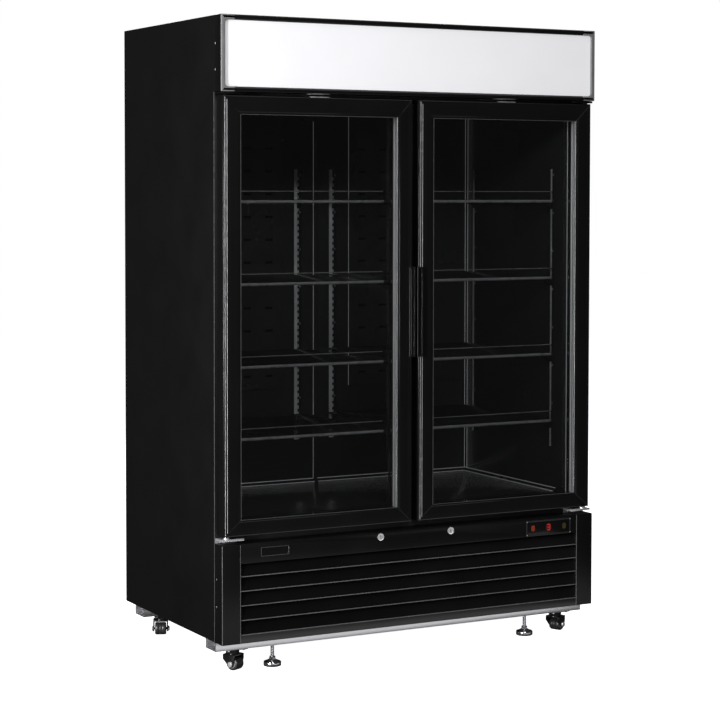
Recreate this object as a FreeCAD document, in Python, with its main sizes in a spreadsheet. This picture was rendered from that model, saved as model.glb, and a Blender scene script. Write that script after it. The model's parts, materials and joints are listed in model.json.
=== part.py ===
"""Two-door glass display cooler with a light-box canopy, on casters.

+X is the user's right, the doors face -Y and the floor is Z = 0. The origin is the middle of the footprint.
Every piece is an object of one document, sized from the sheet named Sizes.
"""

import FreeCAD
import Part
import Sketcher
import os
import re

SIZES = {
    # how far a cutting tool runs past what it cuts
    "margin": 1,
    # overall body
    "width": 1370,
    "depth": 788,
    "height": 2031,
    "trim_depth": 57,
    "side_wall": 68,
    "back_wall": 72,
    "base_bottom": 101,
    "base_top": 409,
    "floor_top": 472,
    "ceiling": 1866,
    "header_bottom": 1775,
    "header_depth": 41,
    "mullion_half": 38,
    "mullion_depth": 63,
    # light-box canopy
    "canopy_bottom": 1797,
    "canopy_back": 6,
    "canopy_wall": 9,
    "bezel_depth": 8,
    "bezel_half": 671,
    "bezel_bottom": 1812.5,
    "bezel_top": 2014.5,
    "bezel_round": 3,
    "bezel_bevel": 6,
    "sign_lap": 4,
    "sign_sheet": 3,
    "lamp_radius": 9,
    "lamp_half": 600,
    "holder_half": 13,
    # doors
    "door_inner": 12,
    "door_outer": 676,
    "door_bottom": 432,
    "door_top": 1787,
    "door_face": 8,
    "door_back": 50,
    "glass_inner": 67,
    "glass_outer": 616,
    "glass_bottom": 483,
    "glass_top": 1728,
    "spacer_wall": 6,
    "spacer_lip": 2,
    "pane": 4,
    "pane_inset": 1,
    "gasket_inner": 20,
    "gasket_outer": 660,
    "gasket_width": 16,
    "gasket_margin": 8,
    "gasket_back": 56.4,
    "door_round": 5,
    # handles
    "handle_inner": 3,
    "handle_outer": 26,
    "handle_bottom": 964,
    "handle_top": 1252,
    "handle_rim": 6,
    "handle_recess": 5,
    "handle_round": 1.5,
    # door hinges
    "hinge_axis": 660,
    "hinge_setback": 24,
    "hinge_plate": 6,
    "hinge_gap": 10,
    "hinge_low": 419,
    "hinge_high": 1790,
    "hinge_inner": 606,
    "hinge_outer": 683,
    "hinge_pin": 5,
    "pin_clearance": 0.05,
    "pin_length": 26,
    "bore_spare": 4,
    "hinge_flange": 3,
    "boss_radius": 10,
    "washer_gap": 0.5,
    # lower front
    "column_inner": 622,
    "column_round": 3,
    "fascia_bottom": 348,
    "fascia_sheet": 2,
    "fascia_setback": 2,
    "blade_pitch": 45.25,
    "blade_rise": 44,
    "blade_sheet": 1.5,
    "blade_lip": 4,
    "blade_slope": 18,
    "grille_end": 24,
    "rail_top": 126,
    "rail_setback": 1,
    "lock_offset": 130,
    "lock_height": 393,
    "lock_radius": 11.5,
    "lock_barrel": 8,
    "lock_reach": 24,
    "lock_proud": 0.3,
    "slip": 0.2,
    "cam_length": 32,
    "cam_width": 12,
    "cam_sheet": 3,
    "key_half_wide": 1.2,
    "key_half_tall": 4.5,
    "key_depth": 7,
    "display_left": 422,
    "display_right": 599,
    "display_bottom": 349,
    "display_top": 401,
    "display_edge": 8,
    "display_depth": 40,
    "fitting_setback": 0.5,
    "badge_left": -552,
    "badge_right": -456,
    "badge_bottom": 366,
    "badge_top": 394,
    # cold-space lining
    "duct_inner": 129,
    "duct_sheet": 8,
    "duct_bottom": 808,
    "duct_top": 1756,
    "slot_near": 183,
    "slot_far": 266,
    "slot_width": 28,
    "slot_height": 8,
    "slot_low": 853,
    "slot_pitch": 78.8,
    "edge_trim": 12,
    "seam_half": 8,
    "seam_sheet": 6,
    # shelf standards and clips
    "standard_width": 28,
    "standard_sheet": 5,
    "standard_bottom": 625,
    "standard_top": 1570,
    "standard_centre": 68.6,
    "standard_front": 146,
    "standard_rear": 650,
    "standard_slot": 5,
    "standard_slot_tall": 10,
    "standard_pitch": 21.6,
    "clip_reach": 32,
    "clip_tall": 24,
    "clip_tip": 2,
    "clip_width": 13,
    "clip_drop": 3,
    "bridge_half": 58,
    "bridge_reach": 36,
    "bridge_thick": 6,
    "bridge_drop": 5.2,
    "bridge_pad": 20,
    # shelves
    "shelf_inner": 42,
    "shelf_outer": 610,
    "shelf_front": 128,
    "shelf_rear": 700,
    "shelf_rod": 5,
    "shelf_wire": 3,
    "cross_rod": 2.4,
    "deck_wire": 1.8,
    "shelf_sag": 0.8,
    "guard_rise": 33,
    "guard_wire": 2,
    # frame under the body
    "channel_half": 680,
    "channel_bottom": 70,
    "channel_front": 60,
    "channel_rear": 641,
    "channel_width": 75,
    "channel_wall": 2.5,
    "sheet": 3,
    # casters
    "caster_side": 604,
    "caster_front": 100,
    "caster_rear": 678,
    "caster_plate": 3,
    "caster_plate_half": 36,
    "race_radius": 21,
    "fork_crown": 23,
    "race_bottom": 52,
    "fork_top": 51.6,
    "fork_head": 46,
    "fork_half": 25,
    "fork_sheet": 4,
    "fork_lead": 20,
    "fork_tail": 25,
    "leg_round": 10,
    "trail": 10,
    "wheel_radius": 21,
    "wheel_half": 19,
    "wheel_round": 4,
    "axle_radius": 4,
    "axle_overhang": 4.5,
    # levelling feet
    "foot_side": 472,
    "foot_line": 88,
    "foot_radius": 28,
    "foot_rim": 14,
    "foot_thick": 19,
    "foot_nut": 11,
    "foot_nut_top": 30,
    "stem_radius": 6,
    "stem_top": 77,
    "foot_hole": 12,
    "foot_toe": 3,
    "foot_slope": 6,
    "foot_collar": 2,
    # refrigeration
    "coil_left": -560,
    "coil_right": -200,
    "coil_bottom": 122,
    "coil_top": 392,
    "coil_front": 72,
    "coil_thick": 46,
    "shroud_thick": 34,
    "fan_clear": 5,
    "fan_gap": 6,
    "fan_radius": 105,
    "fan_hub": 26,
    "fan_thick": 22,
    "vane_sheet": 1,
    "compressor_side": 170,
    "compressor_line": 470,
    "compressor_radius": 78,
    "compressor_body": 110,
    "compressor_foot": 16,
    "dome_rise": 38,
    "base_margin": 12,
    "base_sheet": 4,
    "rubber_foot": 11,
    "control_left": 400,
    "control_right": 590,
    "control_front": 300,
    "control_depth": 150,
    "control_top": 260,
    "rear_sheet": 2,
    "vent_width": 18,
    "vent_pitch": 44,
    "vent_bottom": 150,
    "vent_top": 360,
    "inlet_left": -540,
    "inlet_right": -490,
    "inlet_bottom": 118,
    "inlet_top": 142,
    "inlet_depth": 30,
    "inlet_wall": 4,
    "inlet_pitch": 12,
    "pin_half_wide": 1,
    "pin_half_tall": 2.5,
    "cooler_half": 520,
    "cooler_front": 430,
    "cooler_bottom": 1758,
    "cooler_fan": 44,
    "cooler_hub": 16,
    "cooler_shaft": 70,
    "cooler_sheet": 2,
    "cooler_gap": 20,
    "cooler_coil_front": 520,
    "cooler_coil_half": 480,
}

HALF = "width / 2"
FRONT = "-depth / 2"
BACK = "depth / 2"
FACE = FRONT + " + trim_depth"
INNER_BACK = BACK + " - back_wall"
WALL = "width / 2 - side_wall"
MULLION_BACK = FACE + " + mullion_depth"

BLADES = 5
SLOT_ROWS = 11
STANDARD_SLOTS = 42
SHELF_WIRES = 22
SHELF_FRONT_EDGES = {"one": 1461, "two": 1201, "three": 941, "four": 714}
FAN_BLADES = 5
VANE_LEAN = 20
VENTS_EACH_SIDE = 11
CASTER_TURNS = {
    "front_left": (-1, "caster_front", 27),
    "front_right": (1, "caster_front", 113.5),
    "rear_left": (-1, "caster_rear", -24),
    "rear_right": (1, "caster_rear", 20),
}

doc = FreeCAD.newDocument("GlassDoorCooler")
nodes = []


# ---------------------------------------------------------------- sheet and helpers


def fill_sheet():
    sheet = doc.addObject("Spreadsheet::Sheet", "Sizes")
    values = dict(SIZES)
    for level, edge in SHELF_FRONT_EDGES.items():
        values["shelf_" + level] = edge
    for row, (name, value) in enumerate(values.items(), start=1):
        sheet.set(f"A{row}", name)
        sheet.set(f"B{row}", str(value))
        sheet.setAlias(f"B{row}", name)
    doc.recompute()
    return sheet


def from_sheet(text):
    return re.sub(r"[a-z]+(?:_[a-z]+)*", lambda word: "Sizes." + word.group(0), text)


def bind(thing, **expressions):
    for name, text in expressions.items():
        thing.setExpression(name, from_sheet(text))


def place(thing, x="0", y="0", z="0", axis=None, angle=0):
    if axis:
        thing.Placement = FreeCAD.Placement(FreeCAD.Vector(), FreeCAD.Rotation(FreeCAD.Vector(*axis), angle))
    for name, text in (("x", x), ("y", y), ("z", z)):
        thing.setExpression("Placement.Base." + name, from_sheet(text))
    return thing


def box(name, x, y, z):
    """A block between the (low, high) sheet expressions of each axis."""
    block = doc.addObject("Part::Box", name)
    bind(block, Length=f"({x[1]}) - ({x[0]})", Width=f"({y[1]}) - ({y[0]})", Height=f"({z[1]}) - ({z[0]})")
    return place(block, x[0], y[0], z[0])


def cylinder(name, radius, length, x, y, z, axis=None, angle=0):
    """A round bar that starts at x, y, z and runs along +Z, or along +Z turned about axis."""
    bar = doc.addObject("Part::Cylinder", name)
    bind(bar, Radius=radius, Height=length)
    return place(bar, x, y, z, axis, angle)


def join(kind, name, pieces):
    whole = doc.addObject(kind, name)
    if kind == "Part::Compound":
        whole.Links = pieces
    else:
        whole.Shapes = pieces
    return whole


def fuse(name, pieces):
    return join("Part::MultiFuse", name, pieces)


def group(name, pieces):
    return join("Part::Compound", name, pieces)


def cut(name, base, tools):
    difference = doc.addObject("Part::Cut", name)
    difference.Base = base
    difference.Tool = tools[0] if len(tools) == 1 else fuse(name + "_tools", tools)
    return difference


def copy_of(name, source, x="0", y="0", z="0", axis=None, angle=0):
    """The same piece again somewhere else."""
    link = doc.addObject("App::Link", name)
    link.LinkedObject = source
    link.LinkTransform = True
    link.Placement = FreeCAD.Placement()
    return place(link, x, y, z, axis, angle)


def mirrored(name, source):
    """The piece reflected in the plane X = 0."""
    mirror = doc.addObject("Part::Mirroring", name)
    mirror.Source = source
    mirror.Normal = FreeCAD.Vector(1, 0, 0)
    return mirror


def both_sides(name, right):
    return group(name, [right, mirrored(name + "_other", right)])


def node(thing, label):
    thing.Label = label
    nodes.append(thing)
    return thing


def origin_plane(body, role):
    return next(plane for plane in body.Origin.OriginFeatures if plane.Role == role)


def new_sketch(body, name, role="XZ_Plane"):
    sketch = body.newObject("Sketcher::SketchObject", name)
    sketch.AttachmentSupport = [(origin_plane(body, role), "")]
    sketch.MapMode = "FlatFace"
    return sketch


def rectangle(sketch, across, up):
    """A closed rectangle whose four sides are held at sheet expressions."""
    corners = [FreeCAD.Vector(i, j, 0) for i, j in ((1, 1), (2, 1), (2, 2), (1, 2))]
    first = sketch.GeometryCount
    for start, end in zip(corners, corners[1:] + corners[:1]):
        sketch.addGeometry(Part.LineSegment(start, end), False)
    for side in range(4):
        after = first + (side + 1) % 4
        sketch.addConstraint(Sketcher.Constraint("Coincident", first + side, 2, after, 1))
        direction = "Horizontal" if side % 2 == 0 else "Vertical"
        sketch.addConstraint(Sketcher.Constraint(direction, first + side))
    limits = []
    for corner, end in ((0, 0), (2, 1)):
        limits += [("DistanceX", corner, across[end]), ("DistanceY", corner, up[end])]
    for kind, corner, text in limits:
        index = sketch.addConstraint(Sketcher.Constraint(kind, -1, 1, first + corner, 1, 1.0))
        sketch.setExpression(f"Constraints[{index}]", from_sheet(text))


def outline(sketch, points):
    """A closed outline through points held at pairs of sheet expressions."""
    count = len(points)
    rough = [FreeCAD.Vector(10 + i, 10 + i * i % 7, 0) for i in range(count)]
    for i in range(count):
        sketch.addGeometry(Part.LineSegment(rough[i], rough[(i + 1) % count]), False)
    for i in range(count):
        sketch.addConstraint(Sketcher.Constraint("Coincident", i, 2, (i + 1) % count, 1))
    for i, (across, up) in enumerate(points):
        for kind, text in (("DistanceX", across), ("DistanceY", up)):
            index = sketch.addConstraint(Sketcher.Constraint(kind, -1, 1, i, 1, 1.0))
            sketch.setExpression(f"Constraints[{index}]", from_sheet(text))


def pad(body, sketch, name, length, reverse=False):
    feature = body.newObject("PartDesign::Pad", name)
    feature.Profile = sketch
    feature.Reversed = reverse
    bind(feature, Length=length)
    sketch.Visibility = False
    return feature


def plate(name, across, up, start, thick, holes=()):
    """A body padded along +Y from the plane Y = start, from a rectangle with rectangular holes."""
    body = doc.addObject("PartDesign::Body", name)
    sketch = new_sketch(body, name + "_outline")
    rectangle(sketch, across, up)
    for hole_across, hole_up in holes:
        rectangle(sketch, hole_across, hole_up)
    pad(body, sketch, name + "_pad", thick, reverse=True)
    place(body, y=start)
    return body


def turned(name, points):
    """A body turned about Z from an outline in the XZ plane."""
    body = doc.addObject("PartDesign::Body", name)
    sketch = new_sketch(body, name + "_section")
    outline(sketch, points)
    feature = body.newObject("PartDesign::Revolution", name + "_turn")
    feature.Profile = sketch
    feature.ReferenceAxis = (sketch, ["V_Axis"])
    feature.Angle = 360
    return body


def rounded(body, name, radius, wanted):
    """Fillets the edges of the body's tip that wanted() accepts."""
    doc.recompute()
    tip = body.Tip
    names = [f"Edge{i}" for i, edge in enumerate(tip.Shape.Edges, start=1) if wanted(edge)]
    fillet = body.newObject("PartDesign::Fillet", name)
    fillet.Base = (tip, names)
    bind(fillet, Radius=radius)
    return fillet


def bevelled(body, name, width, wanted):
    """Chamfers the edges of the body's tip that wanted() accepts."""
    doc.recompute()
    tip = body.Tip
    names = [f"Edge{i}" for i, edge in enumerate(tip.Shape.Edges, start=1) if wanted(edge)]
    chamfer = body.newObject("PartDesign::Chamfer", name)
    chamfer.Base = (tip, names)
    bind(chamfer, Size=width)
    return chamfer


def size(name):
    return getattr(doc.Sizes, name)


# ---------------------------------------------------------------- cabinet


def cabinet():
    across = ("-(" + WALL + ")", WALL)
    inside = (FACE, INNER_BACK)
    run, tall = (FACE, BACK), ("base_bottom", "height")
    node(box("LeftSide", ("-" + HALF, "side_wall - width / 2"), run, tall), "left_side_panel")
    node(box("RightSide", (WALL, HALF), run, tall), "right_side_panel")
    node(box("BackPanel", across, (INNER_BACK, BACK), ("base_top", "height")), "back_panel")
    node(box("RoofPanel", across, inside, ("ceiling", "height")), "roof_panel")
    node(box("FloorPanel", across, inside, ("base_top", "floor_top")), "floor_panel")
    header = (FACE, FACE + " + header_depth")
    node(box("Header", across, header, ("header_bottom", "ceiling")), "header_panel")
    post = (FACE, FACE + " + mullion_depth")
    middle = ("-mullion_half", "mullion_half")
    node(box("Mullion", middle, post, ("floor_top", "header_bottom")), "centre_mullion")


def duct_panels():
    body = doc.addObject("PartDesign::Body", "DuctPanel")
    sheet = new_sketch(body, "DuctOutline")
    rectangle(sheet, ("duct_inner", WALL), ("duct_bottom", "duct_top"))
    pad(body, sheet, "DuctPad", "duct_sheet", reverse=True)
    slots = new_sketch(body, "DuctSlots")
    for column in ("slot_near", "slot_far"):
        across = (column + " - slot_width / 2", column + " + slot_width / 2")
        rectangle(slots, across, ("slot_low - slot_height / 2", "slot_low + slot_height / 2"))
    pocket = body.newObject("PartDesign::Pocket", "DuctSlotCut")
    pocket.Profile = slots
    pocket.Type = "ThroughAll"
    pocket.Midplane = True
    rows = body.newObject("PartDesign::LinearPattern", "DuctSlotRows")
    rows.Originals = [pocket]
    rows.Direction = (slots, ["V_Axis"])
    bind(rows, Length=f"slot_pitch * {SLOT_ROWS - 1}")
    rows.Occurrences = SLOT_ROWS
    body.Tip = rows
    place(body, y=INNER_BACK + " - duct_sheet")
    node(both_sides("DuctPanels", body), "duct_panels")


def liner_trims():
    seam_run = (INNER_BACK + " - seam_sheet", INNER_BACK)
    seam = box("BackSeam", ("-seam_half", "seam_half"), seam_run, ("floor_top", "duct_top"))
    low = ("floor_top", "floor_top + edge_trim")
    rear = box("RearEdge", ("seam_half", WALL), (INNER_BACK + " - edge_trim", INNER_BACK), low)
    side_run = (FACE + " + mullion_depth", INNER_BACK + " - edge_trim")
    side = box("SideEdge", (WALL + " - edge_trim", WALL), side_run, low)
    pieces = [seam, rear, mirrored("RearEdgeLeft", rear), side, mirrored("SideEdgeLeft", side)]
    node(group("LinerTrims", pieces), "liner_trims")


def standard():
    """One slotted shelf standard, upright, its face on -Y and its back on Y = 0."""
    strip = box(
        "StandardStrip",
        ("-standard_width / 2", "standard_width / 2"),
        ("-standard_sheet", "0"),
        ("standard_bottom", "standard_top"),
    )
    first = "standard_bottom + standard_pitch / 2"
    across = ("-standard_slot / 2", "standard_slot / 2")
    through = ("-standard_sheet - margin", "margin")
    slots = []
    for i in range(STANDARD_SLOTS):
        low = f"{first} + standard_pitch * {i}"
        slots.append(box(f"StandardSlot{i}", across, through, (low, low + " + standard_slot_tall")))
    return cut("Standard", strip, [group("StandardSlots", slots)])


def standard_places():
    """Where standards stand: (x, y, turn about Z) for the right-hand half."""
    front = FRONT + " + standard_front"
    rear = FRONT + " + standard_rear"
    return (
        ("standard_centre", INNER_BACK, 0),
        (WALL, front, -90),
        (WALL, rear, -90),
    )


def shelf_standards(strip):
    pieces = []
    for i, (x, y, turn) in enumerate(standard_places()):
        right = copy_of(f"Standard{i}Right", strip, x, y, "0", (0, 0, 1), turn)
        left = copy_of(f"Standard{i}Left", strip, f"-({x})", y, "0", (0, 0, 1), -turn)
        pieces += [right, left]
    pieces.append(copy_of("StandardPost", strip, "0", MULLION_BACK, "0", (0, 0, 1), 180))
    node(group("Standards", pieces), "shelf_standards")


def clip():
    """One wedge-shaped shelf clip that reaches out along -Y from Y = 0, its flat top at Z = 0."""
    body = doc.addObject("PartDesign::Body", "Clip")
    sketch = new_sketch(body, "ClipSection", "YZ_Plane")
    outline(sketch, (("0", "0"), ("-clip_reach", "0"), ("-clip_reach", "-clip_tip"), ("0", "-clip_tall")))
    feature = pad(body, sketch, "ClipPad", "clip_width")
    feature.Midplane = True
    return body


def bridge(level):
    """The bracket on the centre post: an arm under both front rods and a pad under the side wires."""
    tag = f"Bridge{level.title()}"
    start = MULLION_BACK + " + standard_sheet"
    stop = start + " + bridge_reach"
    across = ("-bridge_half", "bridge_half")
    pad_low = f"shelf_{level} - bridge_drop"
    arm = box(tag + "Arm", across, (start, stop), (f"{pad_low} - bridge_thick", pad_low))
    pad_run = (f"{stop} - bridge_pad", stop)
    rest = box(tag + "Pad", across, pad_run, (f"{pad_low} - bridge_thick", f"shelf_{level} - clip_drop"))
    return fuse(tag, [arm, rest])


def shelf_clips(wedge):
    pieces = []
    for level in SHELF_FRONT_EDGES:
        z = f"shelf_{level} - clip_drop"
        for i, (x, y, turn) in enumerate(standard_places()):
            if turn:
                right_x, right_y = f"{x} - standard_sheet", y
            else:
                right_x, right_y = x, f"{y} - standard_sheet"
            name = f"Clip{level.title()}{i}"
            right = copy_of(name + "Right", wedge, right_x, right_y, z, (0, 0, 1), turn)
            left = copy_of(name + "Left", wedge, f"-({right_x})", right_y, z, (0, 0, 1), -turn)
            pieces += [right, left]
        pieces.append(bridge(level))
    node(group("Clips", pieces), "shelf_clips")


def bar(name, x, y, z, half):
    """A square bar: each of x, y and z is a middle line, or a (low, high) pair along the bar."""
    spans = []
    for line in (x, y, z):
        spans.append(line if isinstance(line, tuple) else (f"{line} - {half}", f"{line} + {half}"))
    return box(name, *spans)


def shelf():
    """One welded wire shelf for the right-hand bay; Z = 0 is the middle of its front rod."""
    across = ("shelf_inner", "shelf_outer")
    length = "shelf_outer - shelf_inner"
    front = FRONT + " + shelf_front + shelf_rod"
    rear = FRONT + " + shelf_rear - shelf_wire"
    pieces = [cylinder("ShelfFrontRod", "shelf_rod", length, "shelf_inner", front, "0", (0, 1, 0), 90)]
    pieces.append(bar("ShelfRearRod", across, rear, "0", "shelf_wire"))
    for i, third in enumerate((1, 2)):
        y = f"{front} + ({rear} - ({front})) * {third} / 3"
        pieces.append(bar(f"ShelfCrossRod{i}", across, y, "-shelf_sag", "cross_rod"))
    span = f"({length} - 2 * shelf_wire) / {SHELF_WIRES}"
    for i in range(SHELF_WIRES + 1):
        half = "shelf_wire" if i in (0, SHELF_WIRES) else "deck_wire"
        x = f"shelf_inner + shelf_wire + {span} * {i}"
        pieces.append(bar(f"ShelfWire{i}", x, (front, rear), "0", half))
    pieces.append(bar("ShelfGuard", across, front, "guard_rise", "guard_wire"))
    for i, x in enumerate(("shelf_inner + guard_wire", "shelf_outer - guard_wire")):
        pieces.append(bar(f"ShelfGuardPost{i}", x, front, ("0", "guard_rise"), "guard_wire"))
    return fuse("Shelf", pieces)


def shelves(wire_shelf):
    for level in SHELF_FRONT_EDGES:
        tag, z = level.title(), f"shelf_{level}"
        right = copy_of(f"Shelf{tag}Right", wire_shelf, z=z)
        left = copy_of(f"Shelf{tag}Left", wire_shelf, "-shelf_inner - shelf_outer", z=z)
        node(group(f"Shelves{tag}", [right, left]), f"shelves_level_{level}")


# ---------------------------------------------------------------- canopy


def canopy():
    run = (FRONT + " + bezel_depth", FACE)
    whole = box("CanopyBlock", ("-" + HALF, HALF), run, ("canopy_bottom", "height"))
    hollow = box(
        "CanopyHollow",
        ("canopy_wall - width / 2", "width / 2 - canopy_wall"),
        (FRONT, FACE + " - canopy_back"),
        ("canopy_bottom + canopy_wall", "height - canopy_wall"),
    )
    node(cut("CanopyShell", whole, [hollow]), "canopy_shell")
    node(canopy_bezel(), "canopy_bezel")
    across = ("-bezel_half - sign_lap", "bezel_half + sign_lap")
    up = ("bezel_bottom - sign_lap", "bezel_top + sign_lap")
    sign = plate("CanopySign", across, up, FRONT + " + bezel_depth", "sign_sheet")
    node(sign, "canopy_sign")
    lamp_y = f"{FRONT} + trim_depth / 2"
    lamp_z = "(bezel_bottom + bezel_top) / 2"
    tube = cylinder("LampTube", "lamp_radius", "2 * lamp_half", "-lamp_half", lamp_y, lamp_z, (0, 1, 0), 90)
    pieces = [tube]
    holder = (lamp_y + " - lamp_radius", FACE + " - canopy_back")
    up = (lamp_z + " - holder_half", lamp_z + " + holder_half")
    for i, x in enumerate(("-lamp_half", "lamp_half")):
        pieces.append(box(f"LampHolder{i}", (x + " - holder_half", x + " + holder_half"), holder, up))
    node(fuse("CanopyLamp", pieces), "canopy_lamp")


def canopy_bezel():
    """The frame around the sign: rounded outside, bevelled inside."""
    opening = (("-bezel_half", "bezel_half"), ("bezel_bottom", "bezel_top"))
    bezel = plate("Bezel", ("-" + HALF, HALF), ("canopy_bottom", "height"), FRONT, "bezel_depth", [opening])
    half = size("bezel_half")
    inner = (size("bezel_bottom"), size("bezel_top"))

    def on_front(edge):
        return edge.BoundBox.YMax < 1

    def around_sign(edge):
        bounds = edge.BoundBox
        between_stiles = bounds.XMax < half + 1 and bounds.XMin > -half - 1
        return between_stiles and bounds.ZMin > inner[0] - 1 and bounds.ZMax < inner[1] + 1

    rounded(bezel, "BezelRound", "bezel_round", lambda edge: on_front(edge) and not around_sign(edge))
    bevelled(bezel, "BezelBevel", "bezel_bevel", lambda edge: on_front(edge) and around_sign(edge))
    return bezel


# ---------------------------------------------------------------- doors


def side_range(side, near, far):
    """The (low, high) X range of a span from near to far, on the right (1) or the left (-1)."""
    return (near, far) if side > 0 else (f"-({far})", f"-({near})")


def door_frame(side, tag):
    outer = side_range(side, "door_inner", "door_outer")
    opening = side_range(side, "glass_inner", "glass_outer")
    recess = side_range(side, "glass_inner - spacer_wall", "glass_outer + spacer_wall")
    body = doc.addObject("PartDesign::Body", tag + "DoorProfile")
    face = new_sketch(body, tag + "DoorFace")
    rectangle(face, outer, ("door_bottom", "door_top"))
    rectangle(face, opening, ("glass_bottom", "glass_top"))
    pad(body, face, tag + "DoorPad", "door_back - door_face", reverse=True)
    depth = size("door_back") - size("door_face")
    limits = (size("door_bottom"), size("door_top"), size("door_inner"), size("door_outer"))

    def front_rim(edge):
        low, high = edge.BoundBox.ZMin, edge.BoundBox.ZMax
        on_front = edge.BoundBox.YMax < depth / 2
        long_side = abs(abs(edge.BoundBox.XMin) - abs(edge.BoundBox.XMax)) < 0.01
        upright = long_side and round(abs(edge.BoundBox.XMin)) in limits[2:]
        level = abs(low - high) < 0.01 and round(low) in limits[:2]
        return on_front and (upright or level)

    rounded(body, tag + "DoorRound", "door_round", front_rim)
    place(body, y=FRONT + " + door_face")
    lining = (FRONT + " + door_face + spacer_lip", FRONT + " + door_back")
    pocket_up = ("glass_bottom - spacer_wall", "glass_top + spacer_wall")
    pocket = box(tag + "SpacerPocket", recess, lining, pocket_up)
    x = f"{side} * hinge_axis"
    y = FRONT + " + hinge_setback"
    bore = "hinge_pin + pin_clearance"
    length = "pin_length + bore_spare"
    low = cylinder(tag + "LowBore", bore, length, x, y, "door_bottom")
    high = cylinder(tag + "HighBore", bore, length, x, y, f"door_top - ({length})")
    return cut(tag + "DoorFrame", body, [pocket, low, high])


def door_glass(side, tag):
    across = side_range(side, "glass_inner", "glass_outer")
    up = ("glass_bottom", "glass_top")
    front = FRONT + " + door_face + spacer_lip + pane_inset"
    rear = FRONT + " + door_back - pane_inset - pane"
    panes = [plate(f"{tag}Pane{i}", across, up, start, "pane") for i, start in enumerate((front, rear))]
    return group(tag + "Glass", panes)


def door_spacer(side, tag):
    outer = side_range(side, "glass_inner - spacer_wall", "glass_outer + spacer_wall")
    inner = side_range(side, "glass_inner", "glass_outer")
    up = ("glass_bottom - spacer_wall", "glass_top + spacer_wall")
    hole = (inner, ("glass_bottom", "glass_top"))
    start = FRONT + " + door_face + spacer_lip"
    return plate(tag + "Spacer", outer, up, start, "door_back - door_face - spacer_lip", [hole])


def door_gasket(side, tag):
    outer = side_range(side, "gasket_inner", "gasket_outer")
    inner = side_range(side, "gasket_inner + gasket_width", "gasket_outer - gasket_width")
    low = "door_bottom + gasket_margin"
    high = "door_top - gasket_margin"
    hole = (inner, (low + " + gasket_width", high + " - gasket_width"))
    start = FRONT + " + door_back"
    return plate(tag + "Gasket", outer, (low, high), start, "gasket_back - door_back", [hole])


def door_handle(side, tag):
    across = side_range(side, "handle_inner", "handle_outer")
    recess = side_range(side, "handle_inner + handle_rim", "handle_outer - handle_rim")
    grip = plate(tag + "Grip", across, ("handle_bottom", "handle_top"), FRONT, "door_face")
    rounded(grip, tag + "GripRound", "handle_round", lambda edge: edge.BoundBox.YMax < 1)
    up = ("handle_bottom + handle_rim", "handle_top - handle_rim")
    hollow = box(tag + "GripRecess", recess, (FRONT + " - margin", FRONT + " + handle_recess"), up)
    return cut(tag + "Handle", grip, [hollow])


def doors():
    for side, tag in ((-1, "Left"), (1, "Right")):
        label = tag.lower() + "_door_"
        node(door_frame(side, tag), label + "frame")
        node(door_glass(side, tag), label + "glass")
        node(door_spacer(side, tag), label + "spacer")
        node(door_gasket(side, tag), label + "gasket")
        node(door_handle(side, tag), label + "handle")


def hinges():
    run = (FRONT + " + hinge_gap", FACE)
    flange = (FACE + " - hinge_flange", FACE)
    across = ("hinge_inner", "hinge_outer")
    at = ("hinge_axis", FRONT + " + hinge_setback")
    low_top = "hinge_low + hinge_plate"
    low = [
        box("LowHingePlate", across, run, ("hinge_low", low_top)),
        box("LowHingeFlange", across, flange, ("base_top", low_top)),
        cylinder("LowHingeBoss", "boss_radius", f"door_bottom - washer_gap - ({low_top})", *at, low_top),
        cylinder("LowHingePin", "hinge_pin", f"door_bottom + pin_length - ({low_top})", *at, low_top),
    ]
    node(both_sides("LowHinges", fuse("LowHinge", low)), "lower_hinges")
    high_boss = "door_top + washer_gap"
    high_pin = "door_top - pin_length"
    high = [
        box("HighHingePlate", across, run, ("hinge_high", "hinge_high + hinge_plate")),
        box("HighHingeFlange", across, flange, ("hinge_high", "canopy_bottom")),
        cylinder("HighHingeBoss", "boss_radius", f"hinge_high - ({high_boss})", *at, high_boss),
        cylinder("HighHingePin", "hinge_pin", f"hinge_high - ({high_pin})", *at, high_pin),
    ]
    node(both_sides("HighHinges", fuse("HighHinge", high)), "upper_hinges")


# ---------------------------------------------------------------- lower front


def base_columns():
    body = doc.addObject("PartDesign::Body", "Column")
    sketch = new_sketch(body, "ColumnOutline", "XY_Plane")
    rectangle(sketch, ("column_inner", HALF), (FRONT, FACE))
    pad(body, sketch, "ColumnPad", "base_top - base_bottom")
    front = -size("depth") / 2
    height = size("base_top") - size("base_bottom")

    def front_upright(edge):
        tall = edge.BoundBox.ZLength > height - 1
        return tall and abs(edge.BoundBox.YMin - front) < 0.01

    rounded(body, "ColumnRound", "column_round", front_upright)
    place(body, z="base_bottom")
    node(both_sides("Columns", body), "base_columns")


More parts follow.
